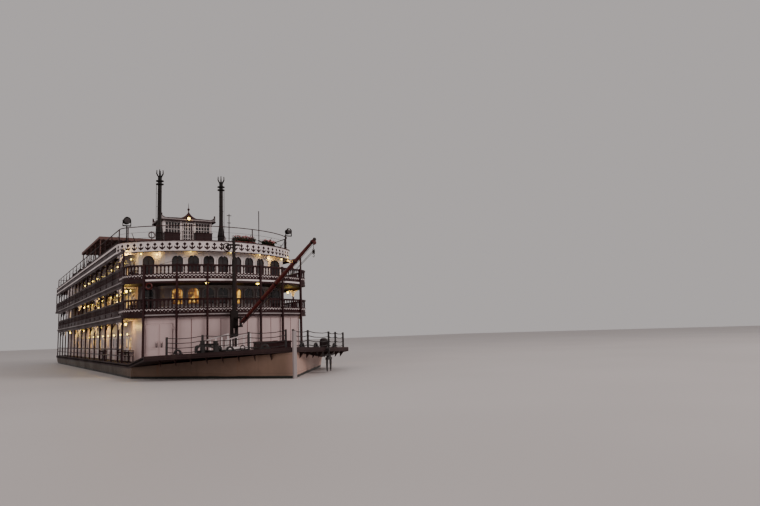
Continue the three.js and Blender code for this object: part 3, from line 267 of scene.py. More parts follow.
def soot_marks(finish, body):
    """Soot and heat near a funnel's head."""
    head = (finish.z + finish.noise(2.0, 3) * 0.8).between(17.6, 19.4)
    return finish.mix(head * 0.8, body, (0.004, 0.0035, 0.003)), head * 0.1


WHITE = weathered("house_white_paint", "house_white", (0.76, 0.67, 0.65), 0.45, 0.22, 0.86, board_marks)
# Deck 2's house is dark: its own darker paint, deepened as painted shade of the deck over it.
HOUSE_2_DARK_AND_SHADE = weathered("house_2_dark_paint_and_shade", "house_white", (0.2, 0.14, 0.135), 0.5, 0.25, 0.8, board_marks)
GREY = weathered("trim_grey_paint", "house_white", (0.33, 0.28, 0.28), 0.45, 0.25, 0.8)
PANEL = weathered("panel_white_paint", "house_white", (0.6, 0.44, 0.43), 0.5, 0.14, 0.9)
TRIM_WHITE = weathered("trim_white_paint", "house_white", (0.8, 0.7, 0.69), 0.4, 0.2, 0.86)
# The hull's cream is laid on dark: its base is painted shade of the starboard side, and hull_marks paints the
# port side paler as painted light.
CREAM = weathered("hull_cream_paint", "hull_cream", (0.21, 0.125, 0.088), 0.5, 0.35, 0.78, hull_marks,
                  shine=0.3)
MAROON = weathered("trim_maroon_paint", "trim_maroon", (0.03, 0.0065, 0.0075), 0.5, 0.1, 0.7, shine=0.2)
DECK = weathered("deck_maroon_paint", "deck_maroon", (0.03, 0.012, 0.012), 0.65, 0.2, 0.7, shine=0.25)
BOOM_RED = weathered("boom_red_paint", "boom_red", (0.1, 0.014, 0.012), 0.45, 0.2, 0.7, shine=0.3)
BLACK = weathered("funnel_black_paint", "funnel_black", (0.012, 0.006, 0.005), 0.5, 0.1, 0.6, soot_marks,
                  shine=0.2)
CAPSTAN = weathered("capstan_dark_paint", "boom_red", (0.022, 0.01, 0.01), 0.5, 0.2, 0.7, shine=0.3)
STEEL = weathered("deck_steel_paint", "deck_steel", (0.028, 0.022, 0.022), 0.5, 0.25, 0.7, shine=0.3)
LAMP_CASE = weathered("lamp_case_paint", "lamp_black", (0.012, 0.009, 0.008), 0.6, 0.12, 0.7, shine=0.1)
print("paints ready")

# %% [markdown]
# Timber, canvas, glass and lamp glass aren't plain paint, so each has a recipe of its own. A lit pane is dark
# but for the patches where a lamp stands behind it.

# %% Timber, canvas, glass and lamp light
def painted_timber(name, slot, colour):
    """Red painted boards that the water has worn: grain along the piece and paint gone from the edges."""
    finish = Finish(name, slot)
    grain = finish.noise(3.0, 6, stretch=(4, 0.35, 4), roughness=0.7)
    worn = finish.noise(1.4, 5).between(0.56, 0.66)
    body = finish.mix(grain.between(0.4, 0.65), colour, darker(colour, 0.6))
    body = finish.mix(worn * 0.6, body, (0.16, 0.11, 0.075))
    return finish.paint(body, grain * 0.3 + 0.4, grain, 0.02)


def canvas(name, slot, colour):
    """Tarred canvas with a fine weave and stains where the rain stands."""
    finish = Finish(name, slot)
    weave = finish.noise(60, 2, stretch=(1, 0.3, 1)) * 0.5 + finish.noise(60, 2, stretch=(0.3, 1, 1)) * 0.5
    pools = finish.noise(0.7, 4).between(0.45, 0.65)
    body = finish.mix(pools * 0.5, colour, darker(colour, 0.45))
    return finish.paint(body, pools * -0.15 + 0.9, weave, 0.006)


def glow(name, colour, strength):
    """Light from a lamp's glass, a little uneven as blown glass is."""
    finish = Finish(name, "lamp_black")
    cloud = finish.noise(9, 2)
    body = finish.mix(cloud.between(0.3, 0.7), colour, darker(colour, 0.72))
    return finish.paint(body, 0.3).emit(body, strength)


def window_glass(name, warmth):
    """Dark panes: gloss from the sky, and as much lamp light from the room as the warmth says."""
    finish = Finish(name, "house_white")
    room = finish.noise(1.1, 3).between(0.35, 0.65)
    low = finish.noise(4.0, 2, stretch=(1, 1, 0.2)).between(0.3, 0.7)
    body = finish.mix(room, (0.012, 0.01, 0.011), (0.04, 0.03, 0.03))
    finish.paint(body, 0.07)
    lit = finish.mix(low, (1.0, 0.6, 0.1), (0.3, 0.11, 0.015))
    near_lamp = finish.noise(1.4, 2).between(0.43, 0.57)
    return finish.emit(finish.mix(near_lamp, (0.06, 0.02, 0.003), lit), warmth)


WHEEL_RED = painted_timber("wheel_red_timber", "wheel_red", (0.27, 0.03, 0.02))
CANVAS = canvas("awning_canvas", "awning_brown", (0.15, 0.075, 0.065))
GLASS = window_glass("dark_pane", 0)
LIT_GLASS = window_glass("lit_pane", 1.5)
LAMP_GLOW = glow("lamp_glass", (1.0, 0.72, 0.12), 7.0)
print("materials:", len(bpy.data.materials))

# %% [markdown]
# The frame's own solids keep their shape, and each gets the finish of its kind. Which finish goes to which
# node is one short table: the first words of the name decide.

# %% Finishes for the frame
FRAME_FINISHES = {
    "hull": CREAM, "stem_post": GREY, "wheel_arm": CREAM,
    "main_deck": DECK, "deck_": DECK, "sun_deck": DECK,
    "main_house": PANEL, "fore_door": PANEL, "house_": WHITE, "house_2": HOUSE_2_DARK_AND_SHADE, "pilothouse": WHITE,
    "stage": TRIM_WHITE, "sun_fascia": TRIM_WHITE, "fore_hatch": MAROON, "pilothouse_roof": MAROON,
    "gallery": MAROON, "front_frame": MAROON, "sun_rail": MAROON, "aft_rail": MAROON, "stair": MAROON,
    "funnel": BLACK, "mast": BLACK, "searchlight": LAMP_CASE, "awning": CANVAS,
    "chain_rail": STEEL, "aerial": STEEL, "windlass": CAPSTAN, "bitts": STEEL, "anchor": STEEL,
    "gooseneck": STEEL, "engine": STEEL, "boom": BOOM_RED, "paddle_wheel": WHEEL_RED, "rudder": WHEEL_RED,
}


def finish_frame():
    """Gives each frame node the finish whose key is the longest that its name starts with."""
    for name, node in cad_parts.items():
        key = max((k for k in FRAME_FINISHES if name.startswith(k)), key=len)
        node.data.materials.clear()
        node.data.materials.append(FRAME_FINISHES[key].material)


finish_frame()
print("frame painted")

# %% [markdown]
# ## The studio
# A pale floor lies at the waterline, so that the ship floats in it as deep as it does in the river. A large
# soft light stands off the port bow and lights the fore end, as the evening sky does. A weaker one to
# starboard leaves that side in shade, which lets its lamps show.

# %% Floor and light
FLOOR_HALF = 150


def add_floor():
    """A pale floor at the waterline, which is no part of the ship."""
    bpy.ops.mesh.primitive_plane_add(size=2 * FLOOR_HALF, location=(0, 0, WATERLINE * MODEL))
    floor = bpy.context.object
    floor.name = "floor"
    finish = Finish("floor_pale", "house_white")
    cloud = finish.noise(0.05, 2)
    finish.paint(finish.mix(cloud.between(0.3, 0.7), (0.56, 0.52, 0.51), (0.52, 0.48, 0.47)), 0.55)
    floor.data.materials.append(finish.material)


def add_light(name, place, size, power, colour):
    """A square soft light that looks at the fore end of the ship."""
    fore_end = Vector((9, 0, 3))
    bpy.ops.object.light_add(type="AREA", location=place)
    lamp = bpy.context.object
    lamp.name = name
    lamp.rotation_mode = "QUATERNION"
    lamp.rotation_quaternion = (fore_end - Vector(place)).to_track_quat("-Z", "Y")
    lamp.data.size = size
    lamp.data.energy = power
    lamp.data.color = colour


def add_sky():
    """An even pale backdrop from all round."""
    world = bpy.data.worlds.new("studio")
    world.use_nodes = True
    background = world.node_tree.nodes["Background"]
    background.inputs["Color"].default_value = (0.86, 0.8, 0.79, 1)
    background.inputs["Strength"].default_value = 0.55
    bpy.context.scene.world = world


add_floor()
add_light("key", (60, 34, 40), 30, 22000, (1.0, 0.93, 0.9))
add_light("fill", (40, -60, 30), 40, 9000, (1.0, 0.95, 0.93))
add_sky()
print("studio ready")

# %% [markdown]
# ## Modelling helpers
# Most of what follows is one small unit, such as a baluster, set out again and again along a deck edge. So
# the helpers are few: a block, a beam between two points, a pipe, a turned shape, a flat outline with
# thickness, and a way to copy a unit to many places and keep the copies as one mesh. Most start from one of
# Blender's primitives, and the turned and flat ones are shaped in edit mode as a hand would shape them.

# %% Meshes and edit mode
def shape(piece, *steps):
    """Runs steps on all of one piece in edit mode. A step is an operator and its settings."""
    bpy.ops.object.select_all(action="DESELECT")
    piece.select_set(True)
    bpy.context.view_layer.objects.active = piece
    bpy.ops.object.mode_set(mode="EDIT")
    bpy.ops.mesh.select_all(action="SELECT")
    for step, settings in steps:
        step(**settings)
    bpy.ops.object.mode_set(mode="OBJECT")
    return piece


SELECT_ALL = (bpy.ops.mesh.select_all, {"action": "SELECT"})
FACE_OUT = (bpy.ops.mesh.normals_make_consistent, {"inside": False})


def placed(shaped):
    """An object for a mesh or a curve."""
    piece = bpy.data.objects.new(shaped.name, shaped)
    bpy.context.collection.objects.link(piece)
    return piece


def from_points(name, points, faces):
    """A mesh from points and faces."""
    mesh = bpy.data.meshes.new(name)
    mesh.from_pydata([tuple(p) for p in points], [], faces)
    return mesh


def settled(work, name):
    """A piece from a mesh that was worked on by itself."""
    mesh = bpy.data.meshes.new(name)
    work.to_mesh(mesh)
    work.free()
    return placed(mesh)


def keep(name, points, faces):
    """A piece from points and faces, its normals made to face out. It serves strips along a deck edge and
    plates with a hole."""
    work = bmesh.new()
    work.from_mesh(from_points(name, points, faces))
    bmesh.ops.recalc_face_normals(work, faces=work.faces)
    return settled(work, name)


def applied(piece):
    """Makes the modifiers of a piece part of its mesh."""
    graph = bpy.context.evaluated_depsgraph_get()
    result = bpy.data.meshes.new_from_object(piece.evaluated_get(graph))
    piece.modifiers.clear()
    piece.data = result
    return piece

# %% [markdown]
# Bars make up most of the joinery and ironwork. A block is a cube at its size and place, a beam is a block
# laid between two points, and a rod a cylinder. A pipe follows a curve, so that wires and handrails can bend.

# %% Blocks, beams and pipes
def block(low, high):
    """A block between two corners: a cube at its size and place."""
    size = [abs(b - a) for a, b in zip(low, high)]
    middle = [(a + b) / 2 for a, b in zip(low, high)]
    bpy.ops.mesh.primitive_cube_add(size=1)
    piece = bpy.context.object
    piece.data.transform(Matrix.Translation(middle) @ Matrix.Diagonal((*size, 1)))
    return piece


def stub(x, y, half_x, half_y, low, high):
    """A block that stands about a point of the plan, from one height to another."""
    return block((x - half_x, y - half_y, low), (x + half_x, y + half_y, high))


def soften(piece, width):
    """Rounds the edges of a piece, as paint and planing do."""
    bevel = piece.modifiers.new("bevel", "BEVEL")
    bevel.width = width
    bevel.segments = 1
    bevel.limit_method = "ANGLE"
    return applied(piece)


def axes(start, end):
    """A frame at the start whose X axis points to the end and whose Y axis is level."""
    forward = (Vector(end) - Vector(start)).normalized()
    side = Vector((0, 0, 1)).cross(forward)
    side = Vector((0, 1, 0)) if side.length < 1e-4 else side.normalized()
    up = forward.cross(side)
    return Matrix.Translation(Vector(start)) @ Matrix((forward, side, up)).transposed().to_4x4()


def beam(start, end, width, depth=None):
    """A bar with a rectangular section, as wide as given across and as deep as given upwards."""
    depth = depth or width
    length = (Vector(end) - Vector(start)).length
    piece = block((0, -width / 2, -depth / 2), (length, width / 2, depth / 2))
    piece.data.transform(axes(start, end))
    return piece


def rod(start, end, radius, sides=8):
    """A round bar between two points: a cylinder laid along them."""
    length = (Vector(end) - Vector(start)).length
    bpy.ops.mesh.primitive_cylinder_add(vertices=sides, radius=radius, depth=length)
    piece = bpy.context.object
    piece.data.transform(axes(start, end) @ at(length / 2, 0, 0) @ AHEAD)
    return piece


def pipe(points, radius, sides=6):
    """A round pipe or wire through a line of points."""
    curve = bpy.data.curves.new("pipe", "CURVE")
    curve.dimensions = "3D"
    curve.bevel_depth = radius
    curve.bevel_resolution = max(0, sides // 2 - 2)
    curve.use_fill_caps = True
    line = curve.splines.new("POLY")
    line.points.add(len(points) - 1)
    for point, place in zip(line.points, points):
        point.co = (*place, 1)
    holder = placed(curve)
    graph = bpy.context.evaluated_depsgraph_get()
    mesh = bpy.data.meshes.new_from_object(holder.evaluated_get(graph))
    bpy.data.objects.remove(holder)
    return placed(mesh)

# %% [markdown]
# Knobs, globes, hubs and tables are turned, as on a lathe: half of the outline is spun about an axis. Boards
# with a sawn edge are flat, so their outline is drawn once and given a thickness.

# %% Turned and flat shapes
def outline_loop(points):
    """A closed loop of edges: a circle whose points are then placed."""
    bpy.ops.mesh.primitive_circle_add(vertices=len(points), fill_type="NOTHING")
    piece = bpy.context.object
    for vertex, place in zip(piece.data.vertices, points):
        vertex.co = place
    return piece


def open_at_axis(piece):
    """Deletes the edge of a profile that runs along the axis, and selects the rest."""
    work = bmesh.from_edit_mesh(piece.data)
    for edge in work.edges:
        edge.select = all(abs(v.co.x) < 1e-7 for v in edge.verts)
    bpy.ops.mesh.delete(type="EDGE")
    bpy.ops.mesh.select_all(action="SELECT")


def turned(profile, sides=16):
    """A shape spun about the upright axis from (radius, height) points. Where neither end of the profile
    is on the axis, it is a ring, and the profile closes on itself."""
    is_ring = profile[0][0] > 0 and profile[-1][0] > 0
    points = profile[:-1] if profile[0] == profile[-1] else list(profile)
    if not is_ring:
        points = [*([(0, points[0][1])] if points[0][0] > 0 else []), *points,
                  *([(0, points[-1][1])] if points[-1][0] > 0 else [])]
    piece = outline_loop([(radius, 0, height) for radius, height in points])
    spin = {"steps": sides, "angle": 2 * math.pi, "center": (0, 0, 0), "axis": (0, 0, 1)}
    weld = (bpy.ops.mesh.remove_doubles, {"threshold": 1e-5})
    steps = [(bpy.ops.mesh.spin, spin), SELECT_ALL, weld, FACE_OUT]
    if not is_ring:
        steps.insert(0, (open_at_axis, {"piece": piece}))
    return shape(piece, *steps)


def plate(outline, thickness, hole=None):
    """A flat shape in the Y-Z plane, from an outline, with an equal-numbered outline for its hole."""
    half = thickness / 2
    if hole is None:
        return shape(outline_loop([(-half, y, z) for y, z in outline]), (bpy.ops.mesh.edge_face_add, {}),
                     (bpy.ops.mesh.extrude_region_move,
                      {"TRANSFORM_OT_translate": {"value": (thickness, 0, 0)}}), SELECT_ALL, FACE_OUT)
    count = len(outline)
    points = [(x, y, z) for x in (-half, half) for ring in (outline, hole) for y, z in ring]
    faces = []
    for i in range(count):
        j = (i + 1) % count
        faces += [(start + i, start + j, start + j + 2 * count, start + i + 2 * count)
                  for start in (0, count)]
        faces += [(side + i, side + j, side + count + j, side + count + i) for side in (0, 2 * count)]
    return keep("plate", points, faces)

# %% [markdown]
# A finished piece is one mesh in one finish, however many units it holds. The last step halves it to the size
# of the model, gives it its name and its paint, and says which body of the frame it moves with.

# %% Places, copies and the last step
SIDES = (-1, 1)                                   # starboard and port
MIRROR = Matrix.Diagonal((1, -1, 1, 1))
AHEAD = Matrix.Rotation(math.pi / 2, 4, "Y")      # turns what points up until it points ahead
ACROSS = Matrix.Rotation(math.pi / 2, 4, "X")     # turns what points up until it lies across the ship
TO_PORT = Matrix.Rotation(math.pi / 2, 4, "Z")    # turns what faces ahead until it faces port
STARBOARD = -math.pi / 2                          # the angle that turns it to starboard


def at(x, y, z, turn=0):
    """A place, turned about the upright axis."""
    return Matrix.Translation((x, y, z)) @ Matrix.Rotation(turn, 4, "Z")


def both(places):
    """Places to starboard and the same ones to port."""
    return [*places, *(MIRROR @ place for place in places)]


def put(piece, place):
    """Moves a piece that is still being put together to a place."""
    piece.data.transform(place)
    return piece


def shift(piece, x=0, y=0, z=0):
    """Moves it by some metres."""
    return put(piece, at(x, y, z))


def merged(pieces):
    """The pieces as one object. Their own objects go."""
    whole = bmesh.new()
    for piece in pieces:
        whole.from_mesh(piece.data)
        bpy.data.objects.remove(piece)
    return settled(whole, "merged")


def copies(unit, places):
    """One mesh that holds the unit at each place. The unit itself goes."""
    whole = bmesh.new()
    for place in places:
        part = unit.data.copy()
        part.transform(place)
        if place.determinant() < 0:
            part.flip_normals()
        whole.from_mesh(part)
        bpy.data.meshes.remove(part)
    bpy.data.objects.remove(unit)
    return settled(whole, "copies")


def dress(piece, finish, name, body="ship", smooth=None):
    """The last step for a piece, or for a list of pieces that become one: model size, name, finish, and the
    body it moves with. A piece that bends between two bodies rides none."""
    if isinstance(piece, list):
        piece = merged(piece)
    piece.name = name
    piece.data.transform(Matrix.Scale(MODEL, 4))
    piece.data.materials.clear()
    piece.data.materials.append(finish.material)
    if smooth is not None:
        piece.data.set_sharp_from_angle(angle=math.radians(smooth))
        piece.data.polygons.foreach_set("use_smooth", [True] * len(piece.data.polygons))
    if body is not None:
        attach(piece, body)
    return piece


print("helpers ready; what points up now points", tuple(round(c) for c in AHEAD @ Vector((0, 0, 1))))

# %% [markdown]
# The decks have straight sides, a rounded corner and a bowed front. A plan knows that line: it gives the
# place at any distance along the edge, measured from the middle of the front, and which way is out.

# %% Deck plans
class Plan:
    """The edge of a deck: a wide arc in front, a fillet at each corner, and straight sides."""

    def __init__(self, half, front, radius, fillet):
        self.half, self.front, self.radius, self.fillet = half, front, radius, fillet
        reach = radius - fillet
        self.fillet_y = half - fillet
        across = math.sqrt(reach ** 2 - self.fillet_y ** 2)
        self.fillet_x = front - radius + across
        self.angle = math.atan2(self.fillet_y, across)
        self.arc_end = radius * self.angle
        self.side_start = self.arc_end + fillet * (math.pi / 2 - self.angle)

    def edge(self, s):
        """The point at this distance from the middle of the front, to port if positive, and its angle."""
        side, s = (1 if s >= 0 else -1), abs(s)
        if s <= self.arc_end:
            angle = s / self.radius
            x, y = self.front - self.radius + self.radius * math.cos(angle), self.radius * math.sin(angle)
        elif s <= self.side_start:
            angle = self.angle + (s - self.arc_end) / self.fillet
            x = self.fillet_x + self.fillet * math.cos(angle)
            y = self.fillet_y + self.fillet * math.sin(angle)
        else:
            angle = math.pi / 2
            x, y = self.fillet_x - (s - self.side_start), self.half
        return x, side * y, side * angle

    def place(self, s, z=0, out=0):
        """A frame on the edge: X out of the ship, Y along the edge, Z up."""
        x, y, angle = self.edge(s)
        return at(x, y, z, angle) @ at(out, 0, 0)

    def reach(self, x):
        """The distance along the edge to a place on the straight side."""
        return self.side_start + self.fillet_x - x

    def stations(self, start, end, step=0.35):
        """Distances along the edge, close together where it curves."""
        turns = [-self.side_start, -self.arc_end, self.arc_end, self.side_start]
        marks = sorted({start, end, *(t for t in turns if start < t < end)})
        line = []
        for a, b in zip(marks, marks[1:]):
            straight = abs(a + b) / 2 > self.side_start
            count = 1 if straight else max(1, round((b - a) / step))
            line += [a + (b - a) * i / count for i in range(count)]
        return line + [end]

    def strip(self, start, end, section):
        """A moulding that follows the edge. Its section is a loop of (out, height) points."""
        line = self.stations(start, end)
        count = len(section)
        points = [self.place(s) @ Vector((out, 0, z)) for s in line for out, z in section]
        faces = [(r * count + i, r * count + (i + 1) % count, (r + 1) * count + (i + 1) % count,
                  (r + 1) * count + i) for r in range(len(line) - 1) for i in range(count)]
        last = (len(line) - 1) * count
        return keep("strip", points, faces + [tuple(range(count)), tuple(range(last, last + count))])

    def sides(self, aft, section):
        """The moulding along both straight sides, aft to an x of the ship."""
        end = self.reach(aft)
        return [self.strip(a, b, section) for a, b in ((-end, -self.side_start), (self.side_start, end))]


MAIN_DECK, DECK_2, DECK_3, SUN_DECK = 2.22, 5.72, 8.27, 11.42      # the tops of the decks
CEILING_DROP = 0.25                                                # from a deck's top to the ceiling below it
UPPER = Plan(7.5, 22.8, 11.6, 2.2)
SUN = Plan(7.42, 20.45, 9.2, 2.0)
HOUSE = Plan(4.6, 19.95, 8.8, 1.2)


def oblong(out_low, out_high, low, high):
    """The section of a square moulding."""
    return [(out_low, low), (out_high, low), (out_high, high), (out_low, high)]


print("deck edge to the side", round(UPPER.side_start, 2), "m")

# %% [markdown]
# ## Railings of the two upper decks
# Each railing has a row of flat sawn balusters with a narrow waist, and under it a pierced board that
# carries a white zigzag. One baluster, one tile of the board and one bay of the zigzag are enough: the plan
# sets them out round the bow and along both sides.

# %% Balusters, pierced boards and zigzag
RAIL_TOP = 1.05
RAIL_FOOT = 0.42
BALUSTER_PITCH = 0.28
SIDE_RAIL_OUT = -0.12
FRONT_RAIL_OUT = -0.03


def rail_line(aft):
    """The distances of the balusters along the edge, to a gallery's after end, and their out."""
    end = UPPER.reach(aft)
    count = int(end / BALUSTER_PITCH)
    spots = [(i + 0.5) * BALUSTER_PITCH for i in range(-count, count)]
    return [(s, SIDE_RAIL_OUT if abs(s) > UPPER.side_start else FRONT_RAIL_OUT) for s in spots]


def baluster():
    """A sawn board with two bellies and a waist."""
    rows = [(0.07, 0), (0.07, 0.05), (0.035, 0.1), (0.06, 0.24), (0.045, 0.4), (0.07, 0.5), (0.07, 0.55)]
    return plate(rows + [(-y, z) for y, z in reversed(rows)], 0.035)


def pierced_tile():
    """A bay of the foot board with a slot in its lower part."""
    half = BALUSTER_PITCH / 2
    outline = [(-half, 0.08), (half, 0.08), (half, 0.36), (-half, 0.36)]
    slot = [(-0.028, 0.1), (0.028, 0.1), (0.028, 0.2), (-0.028, 0.2)]
    return plate(outline, 0.03, slot)


def zigzag():
    """Two slats that meet in a point."""
    half = BALUSTER_PITCH / 2
    return merged([beam((0.022, y, 0.235), (0.022, 0, 0.385), 0.02, 0.042) for y in (-half, half)])


def add_railing(deck, floor, aft):
    """The fretted railing of one deck."""
    line = rail_line(aft)
    places = [UPPER.place(s, floor, out) for s, out in line]
    dress(copies(baluster(), [p @ at(0, 0, RAIL_FOOT) for p in places]), MAROON, f"balusters_{deck}")
    dress(copies(pierced_tile(), places), MAROON, f"foot_boards_{deck}")
    front = [p for p, (s, out) in zip(places, line) if abs(s) < UPPER.side_start + 1.5]
    dress(copies(zigzag(), front), TRIM_WHITE, f"zigzag_{deck}")


add_railing("deck_2", DECK_2, -26.8)
add_railing("deck_3", DECK_3, -30.2)
print("balusters a deck:", len(rail_line(-26.8)))

# %% [markdown]
# The deck edges carry mouldings: a pale strip on the bow between the posts, with a dark line under it, and
# a moulded cap on the hand rail.

# %% Deck-edge strips and rail caps
POST_PITCH, POST_COUNT = 2.097, 7
POST_ANGLES = [math.asin((i - (POST_COUNT - 1) / 2) * POST_PITCH / UPPER.radius) for i in range(POST_COUNT)]


def add_edge_strips(deck, floor):
    """Strips between the front posts, a dark line under them, and pale lines along the sides."""
    gap = 0.09
    posts = [UPPER.radius * a for a in POST_ANGLES]
    end = UPPER.side_start
    # On deck 2 the strips are grey where deck 3's are white: painted shade.
    high, finish = (0, TRIM_WHITE) if deck == "deck_3" else (-0.04, GREY)
    strips = [UPPER.strip(a + gap, b - gap, oblong(0, 0.05, floor - 0.13, floor + high))
              for a, b in zip(posts, posts[1:])]
    dress(strips, finish, f"edge_strips_{deck}")
    dress(UPPER.strip(-end, end, oblong(-0.02, 0.03, floor - 0.27, floor - 0.14)), MAROON,
          f"edge_line_{deck}")
    dress(UPPER.sides(-26.9, oblong(0, 0.025, floor - 0.09, floor - 0.03)), GREY, f"side_line_{deck}")


def add_rail_cap(deck, floor, aft):
    """A rounded hand rail on top of the square one."""
    top = floor + RAIL_TOP
    end = UPPER.side_start
    rounded = [(-0.08, 0), (0.08, 0), (0.085, 0.03), (0.05, 0.055), (-0.05, 0.055), (-0.085, 0.03)]
    cap = UPPER.strip(-end, end, [(FRONT_RAIL_OUT + a, top + b) for a, b in rounded])
    sides = UPPER.sides(aft, [(SIDE_RAIL_OUT + a, top + b) for a, b in rounded])
    dress([cap, *sides], MAROON, f"rail_cap_{deck}", smooth=35)


for deck_name, floor_z, deck_aft in (("deck_2", DECK_2, -26.8), ("deck_3", DECK_3, -30.2)):
    add_edge_strips(deck_name, floor_z)
    add_rail_cap(deck_name, floor_z, deck_aft)
print("edges dressed")

# %% [markdown]
# ## The fascia
# Round the sun deck runs a white band with a row of pierced ornaments: a diamond on a short stem over a broad
# arrow head. They are cut into a copy of the band, which then stands for it. They are shallow pockets whose
# dark maroon faces are painted shade for the dark seen through the piercings. On the sides there are no
# ornaments, only a long dark panel between two white lines.

# %% Pierced fascia
FASCIA_LOW, FASCIA_HIGH = 10.7, 11.52
MOTIF_PITCH = 0.57
MOTIF_COUNT = 32
CUT_DEEP = 0.07


def motif():
    """The cutters for one ornament."""
    middle = (FASCIA_LOW + FASCIA_HIGH) / 2
    diamond = [(0, -0.01), (0.155, 0.145), (0, 0.3), (-0.155, 0.145)]
    arrow = [(0, -0.32), (0.22, -0.13), (0.22, 0.03), (0.06, -0.11), (0.03, 0.02), (-0.03, 0.02),
             (-0.06, -0.11), (-0.22, 0.03), (-0.22, -0.13)]
    return [plate([(y, z + middle) for y, z in outline], 2 * CUT_DEEP) for outline in (diamond, arrow)]


def cut(piece, cutter):
    """Takes the cutter's shape out of the piece. The cutter goes."""
    boolean = piece.modifiers.new("cut", "BOOLEAN")
    boolean.operation = "DIFFERENCE"
    boolean.object = cutter
    boolean.solver = "EXACT"
    boolean.material_mode = "TRANSFER"
    applied(piece)
    bpy.data.objects.remove(cutter)


def add_fascia():
    """A copy of the fascia with its ornaments and side panels cut in."""
    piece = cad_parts["sun_fascia"].copy()
    piece.data = piece.data.copy()
    put(piece, Matrix.Scale(1 / MODEL, 4))
    bpy.context.collection.objects.link(piece)
    stations = [SUN.place((i - (MOTIF_COUNT - 1) / 2) * MOTIF_PITCH) for i in range(MOTIF_COUNT)]
    panels = SUN.sides(-30.3, oblong(-CUT_DEEP, 0.1, FASCIA_LOW + 0.2, FASCIA_HIGH - 0.2))
    for cutter in [copies(part, stations) for part in motif()] + panels:
        # In the ornament pockets the maroon is painted shade; on the side panels it is their own dark paint.
        cutter.data.materials.append(MAROON.material)
        cut(piece, cutter)
    put(piece, Matrix.Scale(MODEL, 4))
    piece.name = "fascia_pierced"
    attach(piece, "ship")
    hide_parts("sun_fascia")
    return piece


fascia = add_fascia()
print("fascia faces:", len(fascia.data.polygons), "materials:", [m.name for m in fascia.data.materials])


def add_fascia_lines():
    """A thin dark bead over the band, a dark strip under it that is painted shadow, and white lines along its
    sides.
    """
    end = SUN.reach(-30.4)
    # The lower strip is painted shadow under the band; the upper one is a real bead.
    beads = [SUN.strip(-end, end, oblong(-0.02, 0.06, low, low + 0.06))
             for low in (FASCIA_LOW - 0.05, FASCIA_HIGH - 0.01)]
    dress(beads, MAROON, "fascia_bead_and_shadow_strip")
    whites = [strip for low in (FASCIA_LOW + 0.05, FASCIA_HIGH - 0.19)
              for strip in SUN.sides(-30.4, oblong(0, 0.02, low, low + 0.14))]
    dress(whites, TRIM_WHITE, "fascia_side_lines")


add_fascia_lines()

# %% [markdown]
# ## Windows and doors
# The two upper houses have a bowed front with seven arched lights, and a recess with an arched door on each
# side of it. The frame has the holes; here they get a moulded surround, a sash and a pane. Some rooms on the
# second deck have their lamps on. Along the sides, each bay between two posts has a door and a window.

# %% Outlines for joinery
def arch(half, sill, spring, corner, steps=5):
    """The outline of an opening with a square foot and a head with round corners."""
    points = [(-half, sill), (half, sill)]
    for side, start in ((1, 0), (-1, math.pi / 2)):
        for i in range(steps + 1):
            turn = start + math.pi / 2 * i / steps
            points.append((side * (half - corner) + corner * math.cos(turn),
                           spring + corner * math.sin(turn)))
    return points


def arch_frame(shape, band, thick):
    """A flat surround that follows the outline of an arched opening."""
    half, sill, spring, corner = shape
    return plate(arch(half + band, sill - band, spring, corner + band), thick, arch(*shape))


def rect(half, low, high):
    """The outline of an upright rectangle."""
    return [(-half, low), (half, low), (half, high), (-half, high)]


def rect_frame(half, low, high, band, thick):
    """A flat surround outside a rectangle."""
    return plate(rect(half + band, low - band, high + band), thick, rect(half, low, high))


def nudge(places, out):
    """The same places a little further out, or in where it is negative."""
    return [place @ at(out, 0, 0) for place in places]


def bar_grid(half, low, high, columns, rows, width, out=0):
    """Glazing bars that cross an opening, as many columns and rows of panes as given."""
    thin = width / 2
    ys = [-half + 2 * half * i / columns for i in range(1, columns)]
    zs = [low + (high - low) * i / rows for i in range(1, rows)]
    return [*(stub(out, y, thin, thin, low, high) for y in ys),
            *(stub(out, 0, thin, half, z - thin, z + thin) for z in zs)]

# %% [markdown]
# The arched lights and the recess doors are the same on both decks but for their paint: white above, where
# the light falls on them, and grey below, which is painted shade. A piece is made once and copied round the
# bow.

# %% Arched lights of the two fronts
LIGHT = (0.43, 0.8, 1.76, 0.36)                  # half width, sill, foot of the head, radius of its corners
RECESS_DOOR = (0.45, 0.1, 1.75, 0.44)
RECESS_X, RECESS_Y = 17.9, 5.35
LIGHT_PITCH = 1.15
LIT_LIGHTS = {"deck_2": (-3, -2, 1), "deck_3": ()}


def inner_shape(shape, by):
    """The arched opening made smaller by a margin."""
    half, sill, spring, corner = shape
    return half - by, sill + by, spring, corner - by


def sash(shape):
    """A thin frame inside an opening with a bar up the middle and one across."""
    inside = inner_shape(shape, 0.045)
    half, sill, spring, corner = inside
    return merged([arch_frame(inside, 0.045, 0.04),
                   block((-0.012, -0.018, sill), (0.016, 0.018, spring + corner)),
                   block((-0.012, -half, spring - 0.33), (0.016, half, spring - 0.29))])


